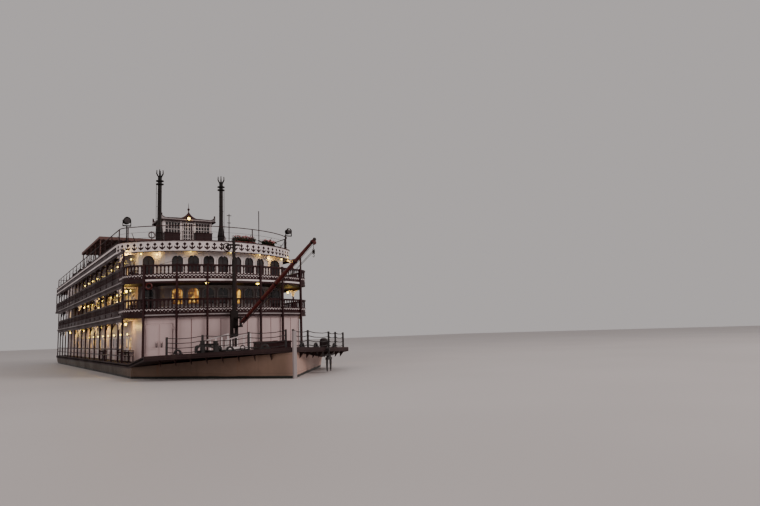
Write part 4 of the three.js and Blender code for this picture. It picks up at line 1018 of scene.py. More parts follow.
def add_front_lights(deck, floor):
    """Surrounds, sashes and panes of one bowed front and its two recesses."""
    # On deck 2 the surrounds and mouldings are grey, painted shade of the white ones on deck 3.
    wall, sash_paint = (TRIM_WHITE, MAROON) if deck == "deck_3" else (GREY, GREY)
    spots = {i: HOUSE.place(HOUSE.radius * math.asin(i * LIGHT_PITCH / HOUSE.radius), floor)
             for i in range(-3, 4)}
    lights = list(spots.values())
    doors = both([at(RECESS_X, -RECESS_Y, floor)])
    surrounds = [copies(arch_frame(LIGHT, 0.085, 0.08), lights),
                 copies(arch_frame(RECESS_DOOR, 0.1, 0.06), doors),
                 copies(block((-0.03, -0.05, 2.06), (0.055, 0.05, 2.24)), lights),
                 copies(block((-0.04, -0.54, 0.66), (0.09, 0.54, 0.725)), lights)]
    dress(soften(merged(surrounds), 0.008), wall, f"light_surrounds_{deck}")
    sashes = [copies(sash(LIGHT), nudge(lights, -0.04)), copies(sash(RECESS_DOOR), nudge(doors, -0.045))]
    dress(sashes, sash_paint, f"sashes_{deck}")
    lit = [spots[i] for i in LIT_LIGHTS[deck]]
    dark = [place for i, place in spots.items() if i not in LIT_LIGHTS[deck]]
    if lit:
        dress(copies(plate(arch(*LIGHT), 0.012), nudge(lit, -0.062)), LIT_GLASS, f"lit_panes_{deck}")
    panes = [copies(plate(arch(*LIGHT), 0.012), nudge(dark, -0.062)),
             copies(plate(arch(*RECESS_DOOR), 0.012), nudge(doors, -0.067))]
    dress(panes, GLASS, f"dark_panes_{deck}")
    end = HOUSE.side_start - 0.2
    ceiling = {"deck_2": DECK_3, "deck_3": SUN_DECK}[deck] - CEILING_DROP
    cornice = [(0, ceiling - 0.2), (0.04, ceiling - 0.2), (0.1, ceiling - 0.06), (0.1, ceiling - 0.005),
               (0, ceiling - 0.005)]
    skirting = oblong(0, 0.03, floor + 0.005, floor + 0.16)
    dress([HOUSE.strip(-end, end, section) for section in (cornice, skirting)], wall,
          f"front_mouldings_{deck}")


add_front_lights("deck_2", DECK_2)
add_front_lights("deck_3", DECK_3)
print("fronts glazed")

# %% [markdown]
# The side walls are flat, so their joinery stands on them: a frame that stands proud, a leaf or a sash in
# it, and the pane a little behind. A lit pane glows only weakly, as a curtained room does.

# %% Side doors and windows
POSTS_FORE, BAY = 17.2, 2.95
MAIN_WALL, UPPER_WALL, WIDE_WALL = 6.29, 6.1, 7.25       # from the middle of the ship to the side walls


def cabin_door():
    """The frame, sill and leaf of a cabin door, and its upper pane by itself."""
    surround = [rect_frame(0.42, 0.12, 2.0, 0.08, 0.07), block((0, -0.52, 0.02), (0.1, 0.52, 0.08))]
    leaf = [shift(rect_frame(0.26, 1.02, 1.82, 0.09, 0.04), 0.012),
            block((0, -0.42, 0.12), (0.02, 0.42, 0.93)), block((0, -0.42, 0.12), (0.02, -0.34, 2.0)),
            block((0, 0.34, 0.12), (0.02, 0.42, 2.0))]
    leaf += [block((0.018, y - 0.13, low), (0.034, y + 0.13, low + 0.3)) for y in (-0.18, 0.18)
             for low in (0.2, 0.57)]
    leaf.append(rod((0.02, 0.37, 1.0), (0.08, 0.37, 1.0), 0.022, 6))
    return soften(merged(surround), 0.008), merged(leaf), shift(plate(rect(0.27, 1.01, 1.83), 0.01), 0.006)


def cabin_window():
    """The frame and sill of a cabin window with its bars, and its pane."""
    pieces = [rect_frame(0.42, 0.85, 1.85, 0.07, 0.07), block((0, -0.55, 0.73), (0.1, 0.55, 0.79)),
              *bar_grid(0.42, 0.85, 1.85, 2, 3, 0.028, 0.018)]
    return merged(pieces), shift(plate(rect(0.43, 0.84, 1.86), 0.01), 0.006)


def add_side_joinery(deck, floor, wall, centres, lit_share):
    """Doors and windows along both side walls of a deck."""
    doors = both([at(x - 0.72, -wall, floor, STARBOARD) for x in centres])
    windows = both([at(x + 0.66, -wall, floor, STARBOARD) for x in centres])
    door_frame, leaf, door_pane = cabin_door()
    window_frame, window_pane = cabin_window()
    dress([copies(door_frame, doors), copies(window_frame, windows)], TRIM_WHITE, f"side_frames_{deck}")
    dress(copies(leaf, doors), TRIM_WHITE, f"side_doors_{deck}")
    chosen = {"lit": ([], []), "dark": ([], [])}
    for kind, places in enumerate((doors, windows)):
        for place in places:
            chosen["lit" if dice.random() < lit_share else "dark"][kind].append(place)
    for light, groups in chosen.items():
        units = [placed(pane.data.copy()) for pane in (door_pane, window_pane)]
        panes = [copies(unit, group) for unit, group in zip(units, groups)]
        dress(panes, LIT_GLASS if light == "lit" else GLASS, f"side_panes_{light}_{deck}")
    for pane in (door_pane, window_pane):
        bpy.data.objects.remove(pane)


upper_bays = [POSTS_FORE - BAY * (k + 0.5) for k in range(10)]
wide_bays = [-13.9, -16.7]
after_bays = [-19.9, -22.9]
add_side_joinery("main", MAIN_DECK, MAIN_WALL, [POSTS_FORE - BAY * (k + 0.5) for k in range(14)], 0.35)
add_side_joinery("deck_2", DECK_2, UPPER_WALL, upper_bays + after_bays, 0.35)
add_side_joinery("deck_3", DECK_3, UPPER_WALL, upper_bays + after_bays, 0.2)
add_side_joinery("deck_2_wide", DECK_2, WIDE_WALL, wide_bays, 0.5)
add_side_joinery("deck_3_wide", DECK_3, WIDE_WALL, wide_bays, 0.5)
print("sides glazed")

# %% [markdown]
# ## Pilothouse
# The pilothouse has small panes all round: five by seven in the windows, and two by nine in each half of the
# door. White posts stand at its corners and beside the door. A lamp in the gable lights the boards round it.

# %% Pilothouse joinery
PILOT_FRONT, PILOT_AFT, PILOT_HALF = 9.6, 6.8, 2.28
PILOT_SILL, PILOT_HEAD, EAVES = 12.57, 14.85, 15.05


def glazed(half, columns, rows):
    """A surround with glazing bars, and its pane by itself, both facing ahead."""
    bars = bar_grid(half, PILOT_SILL, PILOT_HEAD, columns, rows, 0.034)
    surround = merged([rect_frame(half, PILOT_SILL, PILOT_HEAD, 0.05, 0.05), *bars])
    return surround, plate(rect(half, PILOT_SILL, PILOT_HEAD), 0.008)


def add_pilothouse():
    """Windows on the four sides, posts, a frieze under the eaves and the boards below the sills."""
    inner, outer = 0.75, 2.08
    openings = [(at(PILOT_FRONT - 0.02, side * (inner + outer) / 2, 0), (outer - inner) / 2, 5, 7)
                for side in SIDES]
    openings += [(at(8.2, side * (PILOT_HALF - 0.02), 0, side * math.pi / 2), 0.85, 6, 7) for side in SIDES]
    openings.append((at(PILOT_AFT + 0.02, 0, 0, math.pi), 1.4, 10, 7))
    frames, panes = [], []
    for place, half, columns, rows in openings:
        surround, pane = glazed(half, columns, rows)
        frames.append(put(surround, place))
        panes.append(put(pane, place @ at(-0.03, 0, 0)))
    dress(frames, TRIM_WHITE, "pilothouse_sashes")
    dress(panes, GLASS, "pilothouse_panes")
    low, high = SUN_DECK + 0.02, EAVES - 0.02
    posts = [block((PILOT_FRONT - 0.02, y - w, low), (PILOT_FRONT + 0.06, y + w, high))
             for y, w in ((-2.21, 0.09), (-0.66, 0.06), (0.66, 0.06), (2.21, 0.09))]
    posts += [stub(x, side * PILOT_HALF, 0.08, 0.05, low, high)
              for side in SIDES for x in (PILOT_FRONT - 0.1, PILOT_AFT + 0.1)]
    dress(soften(merged(posts), 0.008), TRIM_WHITE, "pilothouse_posts")
    fore, aft, foot, head = PILOT_FRONT + 0.05, PILOT_AFT - 0.05, PILOT_HEAD + 0.05, EAVES - 0.01
    frieze = [block((aft, -PILOT_HALF - 0.05, foot), (fore, -PILOT_HALF + 0.02, head)),
              block((aft, PILOT_HALF - 0.02, foot), (fore, PILOT_HALF + 0.05, head)),
              block((PILOT_FRONT, -PILOT_HALF, PILOT_HEAD + 0.06), (fore, PILOT_HALF, head))]
    dress(soften(merged(frieze), 0.01), GREY, "pilothouse_frieze")
    boards, sill = [], PILOT_SILL - 0.1
    for y in (-1.42, 1.42):
        boards.append(block((PILOT_FRONT, y - 0.62, low), (PILOT_FRONT + 0.03, y + 0.62, sill)))
        boards += [block((PILOT_FRONT + 0.02, y + strip - 0.02, low),
                         (PILOT_FRONT + 0.05, y + strip + 0.02, sill))
                   for strip in (-0.6, -0.3, 0, 0.3, 0.6)]
    dress(boards, MAROON, "pilothouse_boards")


def add_pilothouse_door():
    """Panes over the whole door, with a stile in the middle that makes it look like two leaves."""
    half, low, high = 0.484, SUN_DECK + 0.1, PILOT_HEAD - 0.016
    foot, head = low + 0.05, high - 0.05
    bars = [*bar_grid(half - 0.03, foot, head, 4, 9, 0.03, PILOT_FRONT + 0.072),
            block((PILOT_FRONT + 0.05, -0.035, low), (PILOT_FRONT + 0.085, 0.035, high)),
            shift(rect_frame(half - 0.05, foot, head, 0.045, 0.03), PILOT_FRONT + 0.068)]
    dress(bars, TRIM_WHITE, "pilothouse_door_bars", "wheelhouse_door")
    pane = shift(plate(rect(half - 0.05, foot, head), 0.006), PILOT_FRONT + 0.061)
    dress(pane, GLASS, "pilothouse_door_pane", "wheelhouse_door")
    knob = turned([(0, 0), (0.02, 0), (0.02, 0.03), (0.045, 0.05), (0.045, 0.08), (0, 0.1)], 10)
    put(knob, at(PILOT_FRONT + 0.06, 0.09, low + 1.05) @ AHEAD)
    dress(knob, STEEL, "pilothouse_door_knob", "wheelhouse_door", smooth=40)


add_pilothouse()
add_pilothouse_door()
print("pilothouse glazed")

# %% [markdown]
# The roof's eave boards sweep up at their tips. The pale face of each is a flat shape that follows the sweep,
# with a dark bead under it, and thin pipes make the ribs of the hip.

# %% Roof trim and gable lamp
def eave_band(half):
    """The pale face of an eave board below its dark edge: it follows the sweep up to each tip."""
    sweep = [(half, 0.44), (half - 0.09, 0.24), (half - 0.28, 0.14), (half - 0.68, 0.105)]
    return [(-half, 0.02), (half, 0.02), *sweep, *((-y, z) for y, z in reversed(sweep))]


def add_roof_trim():
    """Pale bands and dark beads at the eaves, ribs over the hip and the gable lamp with its ring."""
    out, front, aft = PILOT_HALF + 0.3, PILOT_FRONT + 0.3, PILOT_AFT - 0.3
    middle, foot = (front + aft) / 2, EAVES - 0.03
    bands = [(out, front + 0.008, 0, 0), (out, aft - 0.008, 0, math.pi)]
    bands += [((front - aft) / 2, middle, side * (out + 0.008), side * math.pi / 2) for side in SIDES]
    dress([put(plate(eave_band(half - 0.05), 0.02), at(x, y, EAVES, turn)) for half, x, y, turn in bands],
          GREY, "eave_bands")
    beads = [beam((x, -out - 0.04, foot), (x, out + 0.04, foot), 0.06, 0.1)
             for x in (front + 0.02, aft - 0.02)]
    beads += [beam((aft, side * (out + 0.02), foot), (front, side * (out + 0.02), foot), 0.06, 0.1)
              for side in SIDES]
    beads += [pipe([(end, side * y, EAVES + 0.19), (middle, side * y * 0.2, EAVES + 0.54)], 0.025)
              for end in (front - 0.15, aft + 0.15) for side in SIDES for y in (0.5, 1.5, 2.4)]
    dress(beads, MAROON, "roof_beads")
    ring = turned([(0.2, 0), (0.2, 0.05), (0.15, 0.07), (0.15, 0.02)], 20)
    put(ring, at(front + 0.02, 0, EAVES + 0.17) @ AHEAD)
    dress(ring, LAMP_CASE, "gable_lamp_ring", smooth=40)
    globe = turned([(0.15, 0), (0.14, 0.04), (0.1, 0.08), (0, 0.1)], 16)
    put(globe, at(front + 0.03, 0, EAVES + 0.17) @ AHEAD)
    dress(globe, LAMP_GLOW, "gable_lamp", smooth=50)


add_roof_trim()
print("roof trimmed")

# %% [markdown]
# ## The sun deck
# The rail gets knees and wires, the lockers stand in front of the pilothouse, and troughs with flowers stand
# along the rail. A leaf is a bent quad of two triangles, so that a few hundred of them cost little.

# %% Sun-deck furniture
def locker(length, depth, high):
    """A chest with a lid that overhangs it, panel strips and feet."""
    deep, long = depth / 2, length / 2
    pieces = [stub(0, 0, deep, long, 0.08, high - 0.06),
              stub(0, 0, deep + 0.04, long + 0.04, high - 0.06, high)]
    pieces += [stub(side * deep, y, 0.02, 0.03, 0.08, high - 0.06)
               for side in SIDES for y in (-long + 0.05, 0, long - 0.05)]
    pieces += [stub(x, y, 0.05, 0.05, 0, 0.09) for x in (-deep + 0.08, deep - 0.08)
               for y in (-long + 0.1, long - 0.1)]
    return soften(merged(pieces), 0.012)


def foliage(length, high, spread, count, size):
    """Leaves or petals scattered along a trough, each bent along its middle."""
    points, faces = [], []
    for _ in range(count):
        centre = Vector((dice.gauss(0, spread), dice.uniform(-length / 2, length / 2),
                         high + dice.uniform(-0.16, 0.16)))
        turn = Matrix.Rotation(dice.uniform(0, 6.28), 3, "Z")
        turn = turn @ Matrix.Rotation(dice.uniform(-1.0, 1.0), 3, "Y")
        along, across, up = (turn @ Vector(v) * size * dice.uniform(0.7, 1.3)
                             for v in ((1, 0, 0), (0, 0.45, 0), (0, 0, 0.25)))
        base = len(points)
        points += [centre - along, centre + across + up, centre + along, centre - across + up]
        faces += [(base, base + 1, base + 2), (base, base + 2, base + 3)]
    return placed(from_points("foliage", points, faces))


def trough(length):
    """A planter box with a rim."""
    return soften(merged([stub(0, 0, 0.16, length / 2, 0, 0.32),
                          stub(0, 0, 0.19, length / 2 + 0.03, 0.28, 0.34)]), 0.01)


# the x, y, length and turn of each trough
PLANTERS = [(19.3, 2.0, 2.0, 0.15), (17.9, 4.75, 1.5, 0.55), (13.5, 5.9, 1.3, 1.57)]


def add_sun_deck_furniture():
    """Lockers before the pilothouse, planters with leaves and flowers, and deck chests under the awning."""
    chests = [(17.0, -3.35, 1.25, 0.6, 1.15), (17.0, -0.75, 1.4, 0.6, 1.25), (13.2, -4.6, 1.1, 0.6, 0.9)]
    chests += [(x, y, 2.4, 0.7, 0.8) for x, y in ((-2.0, -6.0), (-6.0, -6.0), (-2.0, 6.0), (-9.0, 6.0))]
    lockers = [put(locker(*sizes), at(x, y, SUN_DECK + 0.004, 0 if x > 0 else math.pi / 2))
               for x, y, *sizes in chests]
    dress(lockers, MAROON, "deck_lockers")
    troughs, leaves, petals = [], [], []
    for x, y, length, turn in PLANTERS:
        place = at(x, y, SUN_DECK + 0.004, turn)
        troughs.append(put(trough(length), place))
        leaves.append(put(foliage(length, 0.5, 0.14, 420, 0.13), place))
        petals.append(put(foliage(length, 0.66, 0.16, 220, 0.09), place))
    dress(troughs, WHEEL_RED, "planters")
    dress(leaves, LEAF, "planter_leaves")
    dress(petals, PETAL, "planter_flowers")


def add_sun_rail_knees():
    """Sloping braces behind the rail, and two wires along it."""
    line = Plan(SUN.half - 0.2, SUN.front - 0.2, SUN.radius - 0.2, SUN.fillet - 0.2)
    end, pitch = line.reach(-30.1), 2.45
    knees = [line.place(i * pitch) for i in range(-16, 17) if abs(i * pitch) < end]
    unit = merged([beam((-0.02, 0, 12.3), (-0.62, 0, SUN_DECK + 0.03), 0.035),
                   block((-0.7, -0.07, SUN_DECK + 0.004), (-0.55, 0.07, SUN_DECK + 0.05))])
    dress(copies(unit, knees), MAROON, "sun_rail_knees")
    wires = [line.strip(-end, end, [(-0.012, z), (0.012, z), (0, z + 0.018)]) for z in (11.83, 12.28)]
    dress(wires, STEEL, "sun_rail_wires")


LEAF = weathered("leaf_green", "trim_maroon", (0.035, 0.07, 0.02), 0.5, 0.1, 0.6)
PETAL = weathered("petal_pink", "boom_red", (0.62, 0.16, 0.15), 0.5, 0.05, 0.7)
add_sun_deck_furniture()
add_sun_rail_knees()
print("sun deck furnished")

# %% [markdown]
# ## Brackets, beams and lamps of the galleries
# A pair of sawn brackets spreads from the head of each gallery post, and a third one reaches in towards the
# house. Those beside a lantern are painted pale, which is painted lamplight on them, and the others are
# maroon.

# %% Brackets and ceiling beams
GALLERY_Y = 7.38


def bracket(reach, drop):
    """A sawn bracket in the Y-Z plane below a corner: two arms, a curved brace and a hole between them."""
    outer = [(0, 0), (reach, 0), (reach, -0.05)]
    outer += [(reach * (1 - math.sin(t)) * 0.92 + 0.05, -0.05 - (drop - 0.08) * (1 - math.cos(t)))
              for t in (0.2, 0.55, 0.9, 1.2, 1.45)]
    outer += [(0.05, -drop), (0, -drop)]
    inner = [(0.06 + (y - 0.06) * 0.62, -0.06 + (z + 0.06) * 0.62) if y > 0.06 or z < -0.06
             else (0.06, -0.055) for y, z in outer]
    return plate(outer, 0.04, [(max(y, 0.05), min(z, -0.045)) for y, z in inner])


def post_spots(aft):
    """The x of each gallery post from the fore end aft."""
    return [POSTS_FORE + BAY - BAY * k + 0.06 for k in range(1, int((POSTS_FORE - aft) / BAY) + 2)]


def add_brackets(deck, ceiling, aft, wall, lamps):
    """Brackets at each post, pale as painted lamplight where it has a lamp, and to starboard a beam from the
    house over it.
    """
    spots = post_spots(aft)
    header = ceiling - 0.22
    # The pale brackets are painted lamplight: the same brackets as the maroon ones.
    for pale, size, finish, name in ((True, (0.85, 0.55), TRIM_WHITE, "lamp_brackets"),
                                     (False, (0.62, 0.5), MAROON, "brackets")):
        chosen = [x for i, x in enumerate(spots) if (i in lamps) == pale]
        along = [at(x + 0.06, -GALLERY_Y, header, STARBOARD) for x in chosen]
        along += [at(x - 0.06, -GALLERY_Y, header, STARBOARD) @ MIRROR for x in chosen]
        across = [at(x, -GALLERY_Y + 0.06, ceiling - 0.12) for x in chosen if not WIDE_AFT < x < WIDE_FORE]
        dress([copies(bracket(*size), both(along)), copies(bracket(0.5, 0.6), both(across))], finish,
              f"{name}_{deck}")
    beam_unit = block((-0.05, 0, 0), (0.05, GALLERY_Y - 0.065 - wall, 0.11))
    places = [at(x, -GALLERY_Y + 0.062, ceiling - 0.118) for x in spots if not WIDE_AFT < x < WIDE_FORE]
    dress(copies(beam_unit, places), TRIM_WHITE, f"ceiling_beams_{deck}")


WIDE_FORE, WIDE_AFT = -12.2, -18.3
LAMP_POSTS = {"main": (0, 4, 8, 12), "deck_2": (0, 4, 8, 12), "deck_3": (0,)}
add_brackets("main", DECK_2 - CEILING_DROP, -26.5, MAIN_WALL + 0.01, LAMP_POSTS["main"])
add_brackets("deck_2", DECK_3 - CEILING_DROP, -26.5, UPPER_WALL + 0.01, LAMP_POSTS["deck_2"])
add_brackets("deck_3", FASCIA_LOW, -29.9, UPPER_WALL + 0.01, LAMP_POSTS["deck_3"])
print("brackets up")

# %% [markdown]
# Each lamp is a dark case with a globe that shines in the picture. The lanterns and some of the front lamps
# have a small light of their own beside them, because light from a small shining surface alone leaves the
# picture grainy.

# %% Lamps
def lantern():
    """The case of a hanging lantern: a hook, a cap, four bars and a foot. Its glass comes apart from it."""
    case = [turned([(0, 0), (0.03, -0.01), (0.03, -0.06), (0.13, -0.11), (0.13, -0.13), (0, -0.13)], 10),
            turned([(0, -0.34), (0.09, -0.34), (0.07, -0.38), (0, -0.4)], 10),
            rod((0, 0, 0.1), (0, 0, -0.02), 0.012, 5)]
    case += [rod((0.1 * math.cos(a), 0.1 * math.sin(a), -0.13),
                 (0.08 * math.cos(a), 0.08 * math.sin(a), -0.34), 0.008, 4)
             for a in (0.8, 2.4, 3.9, 5.5)]
    glass = turned([(0, -0.13), (0.085, -0.15), (0.095, -0.22), (0.07, -0.33), (0, -0.34)], 10)
    return merged(case), glass


def add_glow(place, power, size=0.1):
    """A warm light as small as a lantern, placed in metres of the ship."""
    bpy.ops.object.light_add(type="POINT", location=Vector(place) * MODEL)
    light = bpy.context.object.data
    light.energy = power
    light.color = (1.0, 0.66, 0.16)
    light.shadow_soft_size = size


def wall_lamp():
    """The plate and arm of a wall lamp, and its globe."""
    arm = merged([block((0, -0.04, -0.1), (0.02, 0.04, 0.1)),
                  rod((0.01, 0, 0.02), (0.14, 0, 0.06), 0.012, 5)])
    globe = turned([(0, 0), (0.05, 0.02), (0.06, 0.07), (0.03, 0.13), (0, 0.14)], 8)
    return arm, shift(globe, 0.14, 0, 0.07)


def add_lamps():
    """Lanterns under the ceiling beams with their lights, and a small lamp on the wall in each bay."""
    places = []
    spots = post_spots(-26.5)
    for deck, above in (("main", DECK_2), ("deck_2", DECK_3), ("deck_3", SUN_DECK)):
        places += [at(spots[i], -6.85, above - CEILING_DROP - 0.12) for i in LAMP_POSTS[deck]]
    case, glass = lantern()
    dress(copies(case, both(places)), LAMP_CASE, "lantern_cases")
    dress(copies(glass, both(places)), LAMP_GLOW, "lantern_glass", smooth=50)
    for place in both(places):
        x, y, z = place.translation
        add_glow((x + 0.25, y, z - 0.45), 10.0 if y < 0 else 6.0)
    walls = []
    for floor in (MAIN_DECK, DECK_2, DECK_3):
        wall = MAIN_WALL if floor == MAIN_DECK else UPPER_WALL
        walls += [at(x - 0.02, -wall, floor + 2.0, STARBOARD) for x in upper_bays]
    arm, globe = wall_lamp()
    cup = turned([(0, 0), (0.05, 0), (0.05, 0.02), (0, 0.03)], 8)
    dress(copies(merged([arm, cup]), both(walls)), LAMP_CASE, "wall_lamp_arms")
    dress(copies(globe, both(walls)), LAMP_GLOW, "wall_lamp_globes", smooth=50)


def add_front_lamps():
    """Lamps on the front of deck 3 and in its recesses, domes under decks 2 and 3, and a ring buoy."""
    spots = [HOUSE.place(s, DECK_3 + 2.45, 0.02) for s in (-2.55, 0.6, 3.4)]
    spots += [at(RECESS_X + 0.02, side * y, DECK_3 + 2.3) for side in SIDES for y in (4.75, 5.95)]
    base = put(turned([(0, 0), (0.07, 0), (0.07, 0.03), (0, 0.05)], 10), AHEAD)
    globe = put(turned([(0, 0.03), (0.06, 0.04), (0.07, 0.09), (0.04, 0.13), (0, 0.14)], 10), AHEAD)
    dome = turned([(0, 0), (0.13, 0), (0.12, -0.05), (0.07, -0.1), (0, -0.12)], 12)
    domes = [UPPER.place(s, floor - 0.256, -0.35)
             for s, floor in ((-2.1, DECK_3), (2.1, DECK_3), (-5.4, DECK_2))]
    dress(copies(base, spots), LAMP_CASE, "front_lamp_bases")
    dress([copies(globe, spots), copies(dome, domes)], LAMP_GLOW, "front_lamps", smooth=50)
    for i, power in ((0, 1.2), (2, 1.2), (3, 3.0), (5, 3.0)):
        add_glow(spots[i] @ Vector((0.3, 0, 0)), power, 0.05)
    ring = turned([(0.17, 0), (0.22, 0.045), (0.27, 0), (0.22, -0.045), (0.17, 0)], 20)
    put(ring, UPPER.place(-6.3, DECK_3 - 0.5, 0.02) @ AHEAD)
    dress(ring, BOOM_RED, "ring_buoy", smooth=60)
    strap = [UPPER.place(-6.3, DECK_3 + z, 0.02).translation for z in (-0.26, -0.12)]
    dress(beam(*strap, 0.06, 0.02), STEEL, "ring_buoy_strap")


add_lamps()
add_front_lamps()
add_glow((10.2, 0, 15.22), 1.6, 0.06)

# %% [markdown]
# ## Boom, mast and funnels
# A tackle of thin falls hangs from the boom's head and comes back to the gooseneck. The falls start on the
# swivel and end on the boom, and ride neither body.

# %% Boom tackle
PIVOT = Vector((23.95, 0, 4.95))
SLEW, LUFF, BOOM_LONG, PIN_OUT = math.radians(9.1), math.radians(28), 10.6, 0.26
BOOM_PLACE = at(*PIVOT, SLEW) @ at(PIN_OUT, 0, 0) @ Matrix.Rotation(-LUFF, 4, "Y")


def sheave_block(high, wide):
    """A pulley block: two cheeks, the wheel between them and a hook eye over it."""
    cheek = [(wide * math.cos(t), high / 2 * math.sin(t)) for t in (math.pi * i / 6 for i in range(12))]
    pieces = [shift(plate(cheek, 0.02), x) for x in (-0.045, 0.045)]
    wheel = turned([(0, -0.025), (wide * 0.8, -0.025), (wide * 0.65, 0), (wide * 0.8, 0.025), (0, 0.025)], 12)
    eye = pipe([(0, 0.045 * math.cos(t), high / 2 + 0.04 + 0.045 * math.sin(t))
                for t in (math.pi * i / 4 for i in range(9))], 0.012)
    return merged([*pieces, put(wheel, AHEAD), eye])


def band(radius, lip, z=0):
    """A clamp round a spar, thickest in its middle."""
    profile = [(0, z - 0.05), (radius, z - 0.05), (radius + lip, z), (radius, z + 0.05), (0, z + 0.05)]
    return turned(profile, 14)


def add_boom_gear():
    """Bands on the boom, the hanging block with its link and hook, and three falls."""
    bands = [put(band(radius, 0.012), BOOM_PLACE @ at(x, 0, 0) @ AHEAD)
             for x, radius in ((0.75, 0.14), (3.2, 0.165), (5.3, 0.18), (8.0, 0.15), (10.25, 0.13))]
    cap = turned([(0, 0), (0.11, 0), (0.12, 0.03), (0.09, 0.07), (0, 0.08)], 12)
    put(cap, BOOM_PLACE @ at(BOOM_LONG - 0.06, 0, 0) @ AHEAD)
    dress([*bands, cap], BLACK, "boom_bands", "cargo_boom", smooth=40)
    head = BOOM_PLACE @ Vector((BOOM_LONG - 0.3, 0, -0.2))
    block_high = head.z - 0.5
    hanging = put(sheave_block(0.34, 0.13), at(head.x, head.y, block_high, SLEW + 1.2))
    link = pipe([head, (head.x, head.y, block_high + 0.2)], 0.018)
    hook = pipe([(head.x, head.y + y, block_high + z)
                 for y, z in ((0, -0.15), (0.05, -0.28), (0, -0.36), (-0.07, -0.3))], 0.02)
    dress([hanging, link, hook], BLACK, "boom_block", "cargo_boom", smooth=40)
    foot = PIVOT + Vector((0.2, 0.03, -0.3))
    tops = (Vector((head.x, head.y, block_high)), Vector((head.x, head.y, block_high + 0.1)), head)
    for i, end in enumerate(tops):
        start = foot + Vector((0, 0.05 * (i - 1), 0.05 * i))
        fall = pipe([start.lerp(end, t) - Vector((0, 0, 0.12 * t * (1 - t)))
                     for t in (0, 0.04, 0.1, 0.25, 0.5, 0.75, 1)], 0.014)
        dress(fall, STEEL, f"boom_fall_{i}", body=None)
        near = start.lerp(end, 0.1)
        tuple(near * MODEL)
        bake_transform(fall)


add_boom_gear()
print("boom rigged")

# %% [markdown]
# The mast carries a spoked floodlight and two shrouds, and each funnel has a thin steam pipe beside it. Bands
# and rungs are small, but without them both look like bare tubes.

# %% Mast and funnel fittings
def add_mast_gear():
    """Bands, rungs, bolts, a spoked floodlight and two shrouds."""
    x, y = 23.35, -0.3
    bands = [band(r, 0.015, z) for z, r in ((6.3, 0.16), (8.0, 0.15), (9.6, 0.14), (10.6, 0.135))]
    bands.append(turned([(0, 11.2), (0.13, 11.2), (0.15, 11.24), (0.1, 11.32), (0, 11.36)], 12))
    for piece in bands:
        shift(piece, x, y)
    rungs = [rod((x - 0.05, y - 0.24, z), (x - 0.05, y + 0.24, z), 0.015, 5)
             for z in (6.8 + 0.42 * i for i in range(10))]
    bolts = [rod((x - 0.18, y + dy, z), (x + 0.18, y + dy, z), 0.025, 6) for z in (4.6, 5.1, 5.6)
             for dy in (-0.12, 0.12)]
    dress([*bands, *rungs, *bolts], BLACK, "mast_bands", smooth=40)
    light_z = 10.62
    rim = turned([(0.3, -0.07), (0.34, 0), (0.3, 0.07), (0.27, 0.05), (0.27, -0.05)], 20)
    hub = turned([(0, -0.1), (0.1, -0.1), (0.12, 0), (0.07, 0.08), (0, 0.1)], 12)
    spokes = [rod((0, 0, 0), (0.3 * math.cos(a), 0.3 * math.sin(a), 0), 0.02, 5)
              for a in (math.pi * i / 4 for i in range(8))]
    light = put(merged([rim, hub, *spokes]), at(x + 0.05, y - 0.55, light_z) @ AHEAD)
    dress([light, beam((x, y, light_z), (x, y - 0.25, light_z), 0.06)], BLACK, "mast_floodlight", smooth=40)
    shrouds = [pipe([(x, y + side * 0.1, 10.9), (x - 2.5, y + side * 5.2, DECK_3 + 1.06)], 0.014)
               for side in SIDES]
    dress(shrouds, STEEL, "mast_shrouds")


def add_funnel_gear():
    """Rings round each funnel, a thin steam pipe beside it and the pipe's clips."""
    for side, name in ((-1, "starboard"), (1, "port")):
        x, y = 10.7, side * 2.89
        foot = [turned([(0.33, SUN_DECK + 0.003), (0.42, SUN_DECK + 0.003), (0.4, SUN_DECK + 0.08),
                        (0.33, SUN_DECK + 0.1)], 16),
                turned([(0.325, 13.5), (0.36, 13.55), (0.325, 13.6)], 16),
                turned([(0.325, 12.4), (0.35, 12.44), (0.325, 12.48)], 16)]
        foot += [turned([(0.175, z - 0.04), (0.2, z), (0.175, z + 0.04)], 12) for z in (15.6, 16.5, 17.4)]
        for piece in foot:
            shift(piece, x, y)
        out = y + side * 0.3
        line = [pipe([(x, out, SUN_DECK + 0.02), (x, out, 18.06)], 0.022, 8)]
        line += [rod((x, y + side * 0.17, z), (x, out, z), 0.014, 5) for z in (14.9, 16.0, 17.2)]
        dress(foot + line, BLACK, f"funnel_bands_{name}", smooth=40)


add_mast_gear()
add_funnel_gear()
print("mast and funnels fitted")

# %% [markdown]
# ## The bow
# The straight deck edges meet at the stem. Knees carry the overhang, a rubbing strake runs along it, and the
# gear of a working foredeck stands on it: fairleads, cleats, treads on the stage and ribs on the hatch lid.

# %% Foredeck
STEM_X, SHOULDER_X, STEM_HALF, HALF_BEAM, SHEER_FROM = 33.3, 26.9, 0.06, 7.5, 22.0
EDGE_RUN = Vector((STEM_X - SHOULDER_X, HALF_BEAM - STEM_HALF))
EDGE_ANGLE = math.atan2(EDGE_RUN.y, -EDGE_RUN.x)


def deck_height(x):
    """The top of the main deck, which rises towards the bow."""
    if x <= SHEER_FROM:
        return MAIN_DECK
    if x <= SHOULDER_X:
        return MAIN_DECK + 0.58 * (x - SHEER_FROM) / (SHOULDER_X - SHEER_FROM)
    return MAIN_DECK + 0.58 + 0.3 * (x - SHOULDER_X) / (STEM_X - SHOULDER_X)


def bow(s, inboard=0, lift=0, side=1):
    """A frame on the slanting edge: X aft along it from the stem, Y inboard, Z up."""
    x = STEM_X - s * EDGE_RUN.x / EDGE_RUN.length
    y = STEM_HALF + s * EDGE_RUN.y / EDGE_RUN.length
    place = at(x, y, deck_height(x) + lift, EDGE_ANGLE) @ at(0, inboard, 0)
    return place if side > 0 else MIRROR @ place


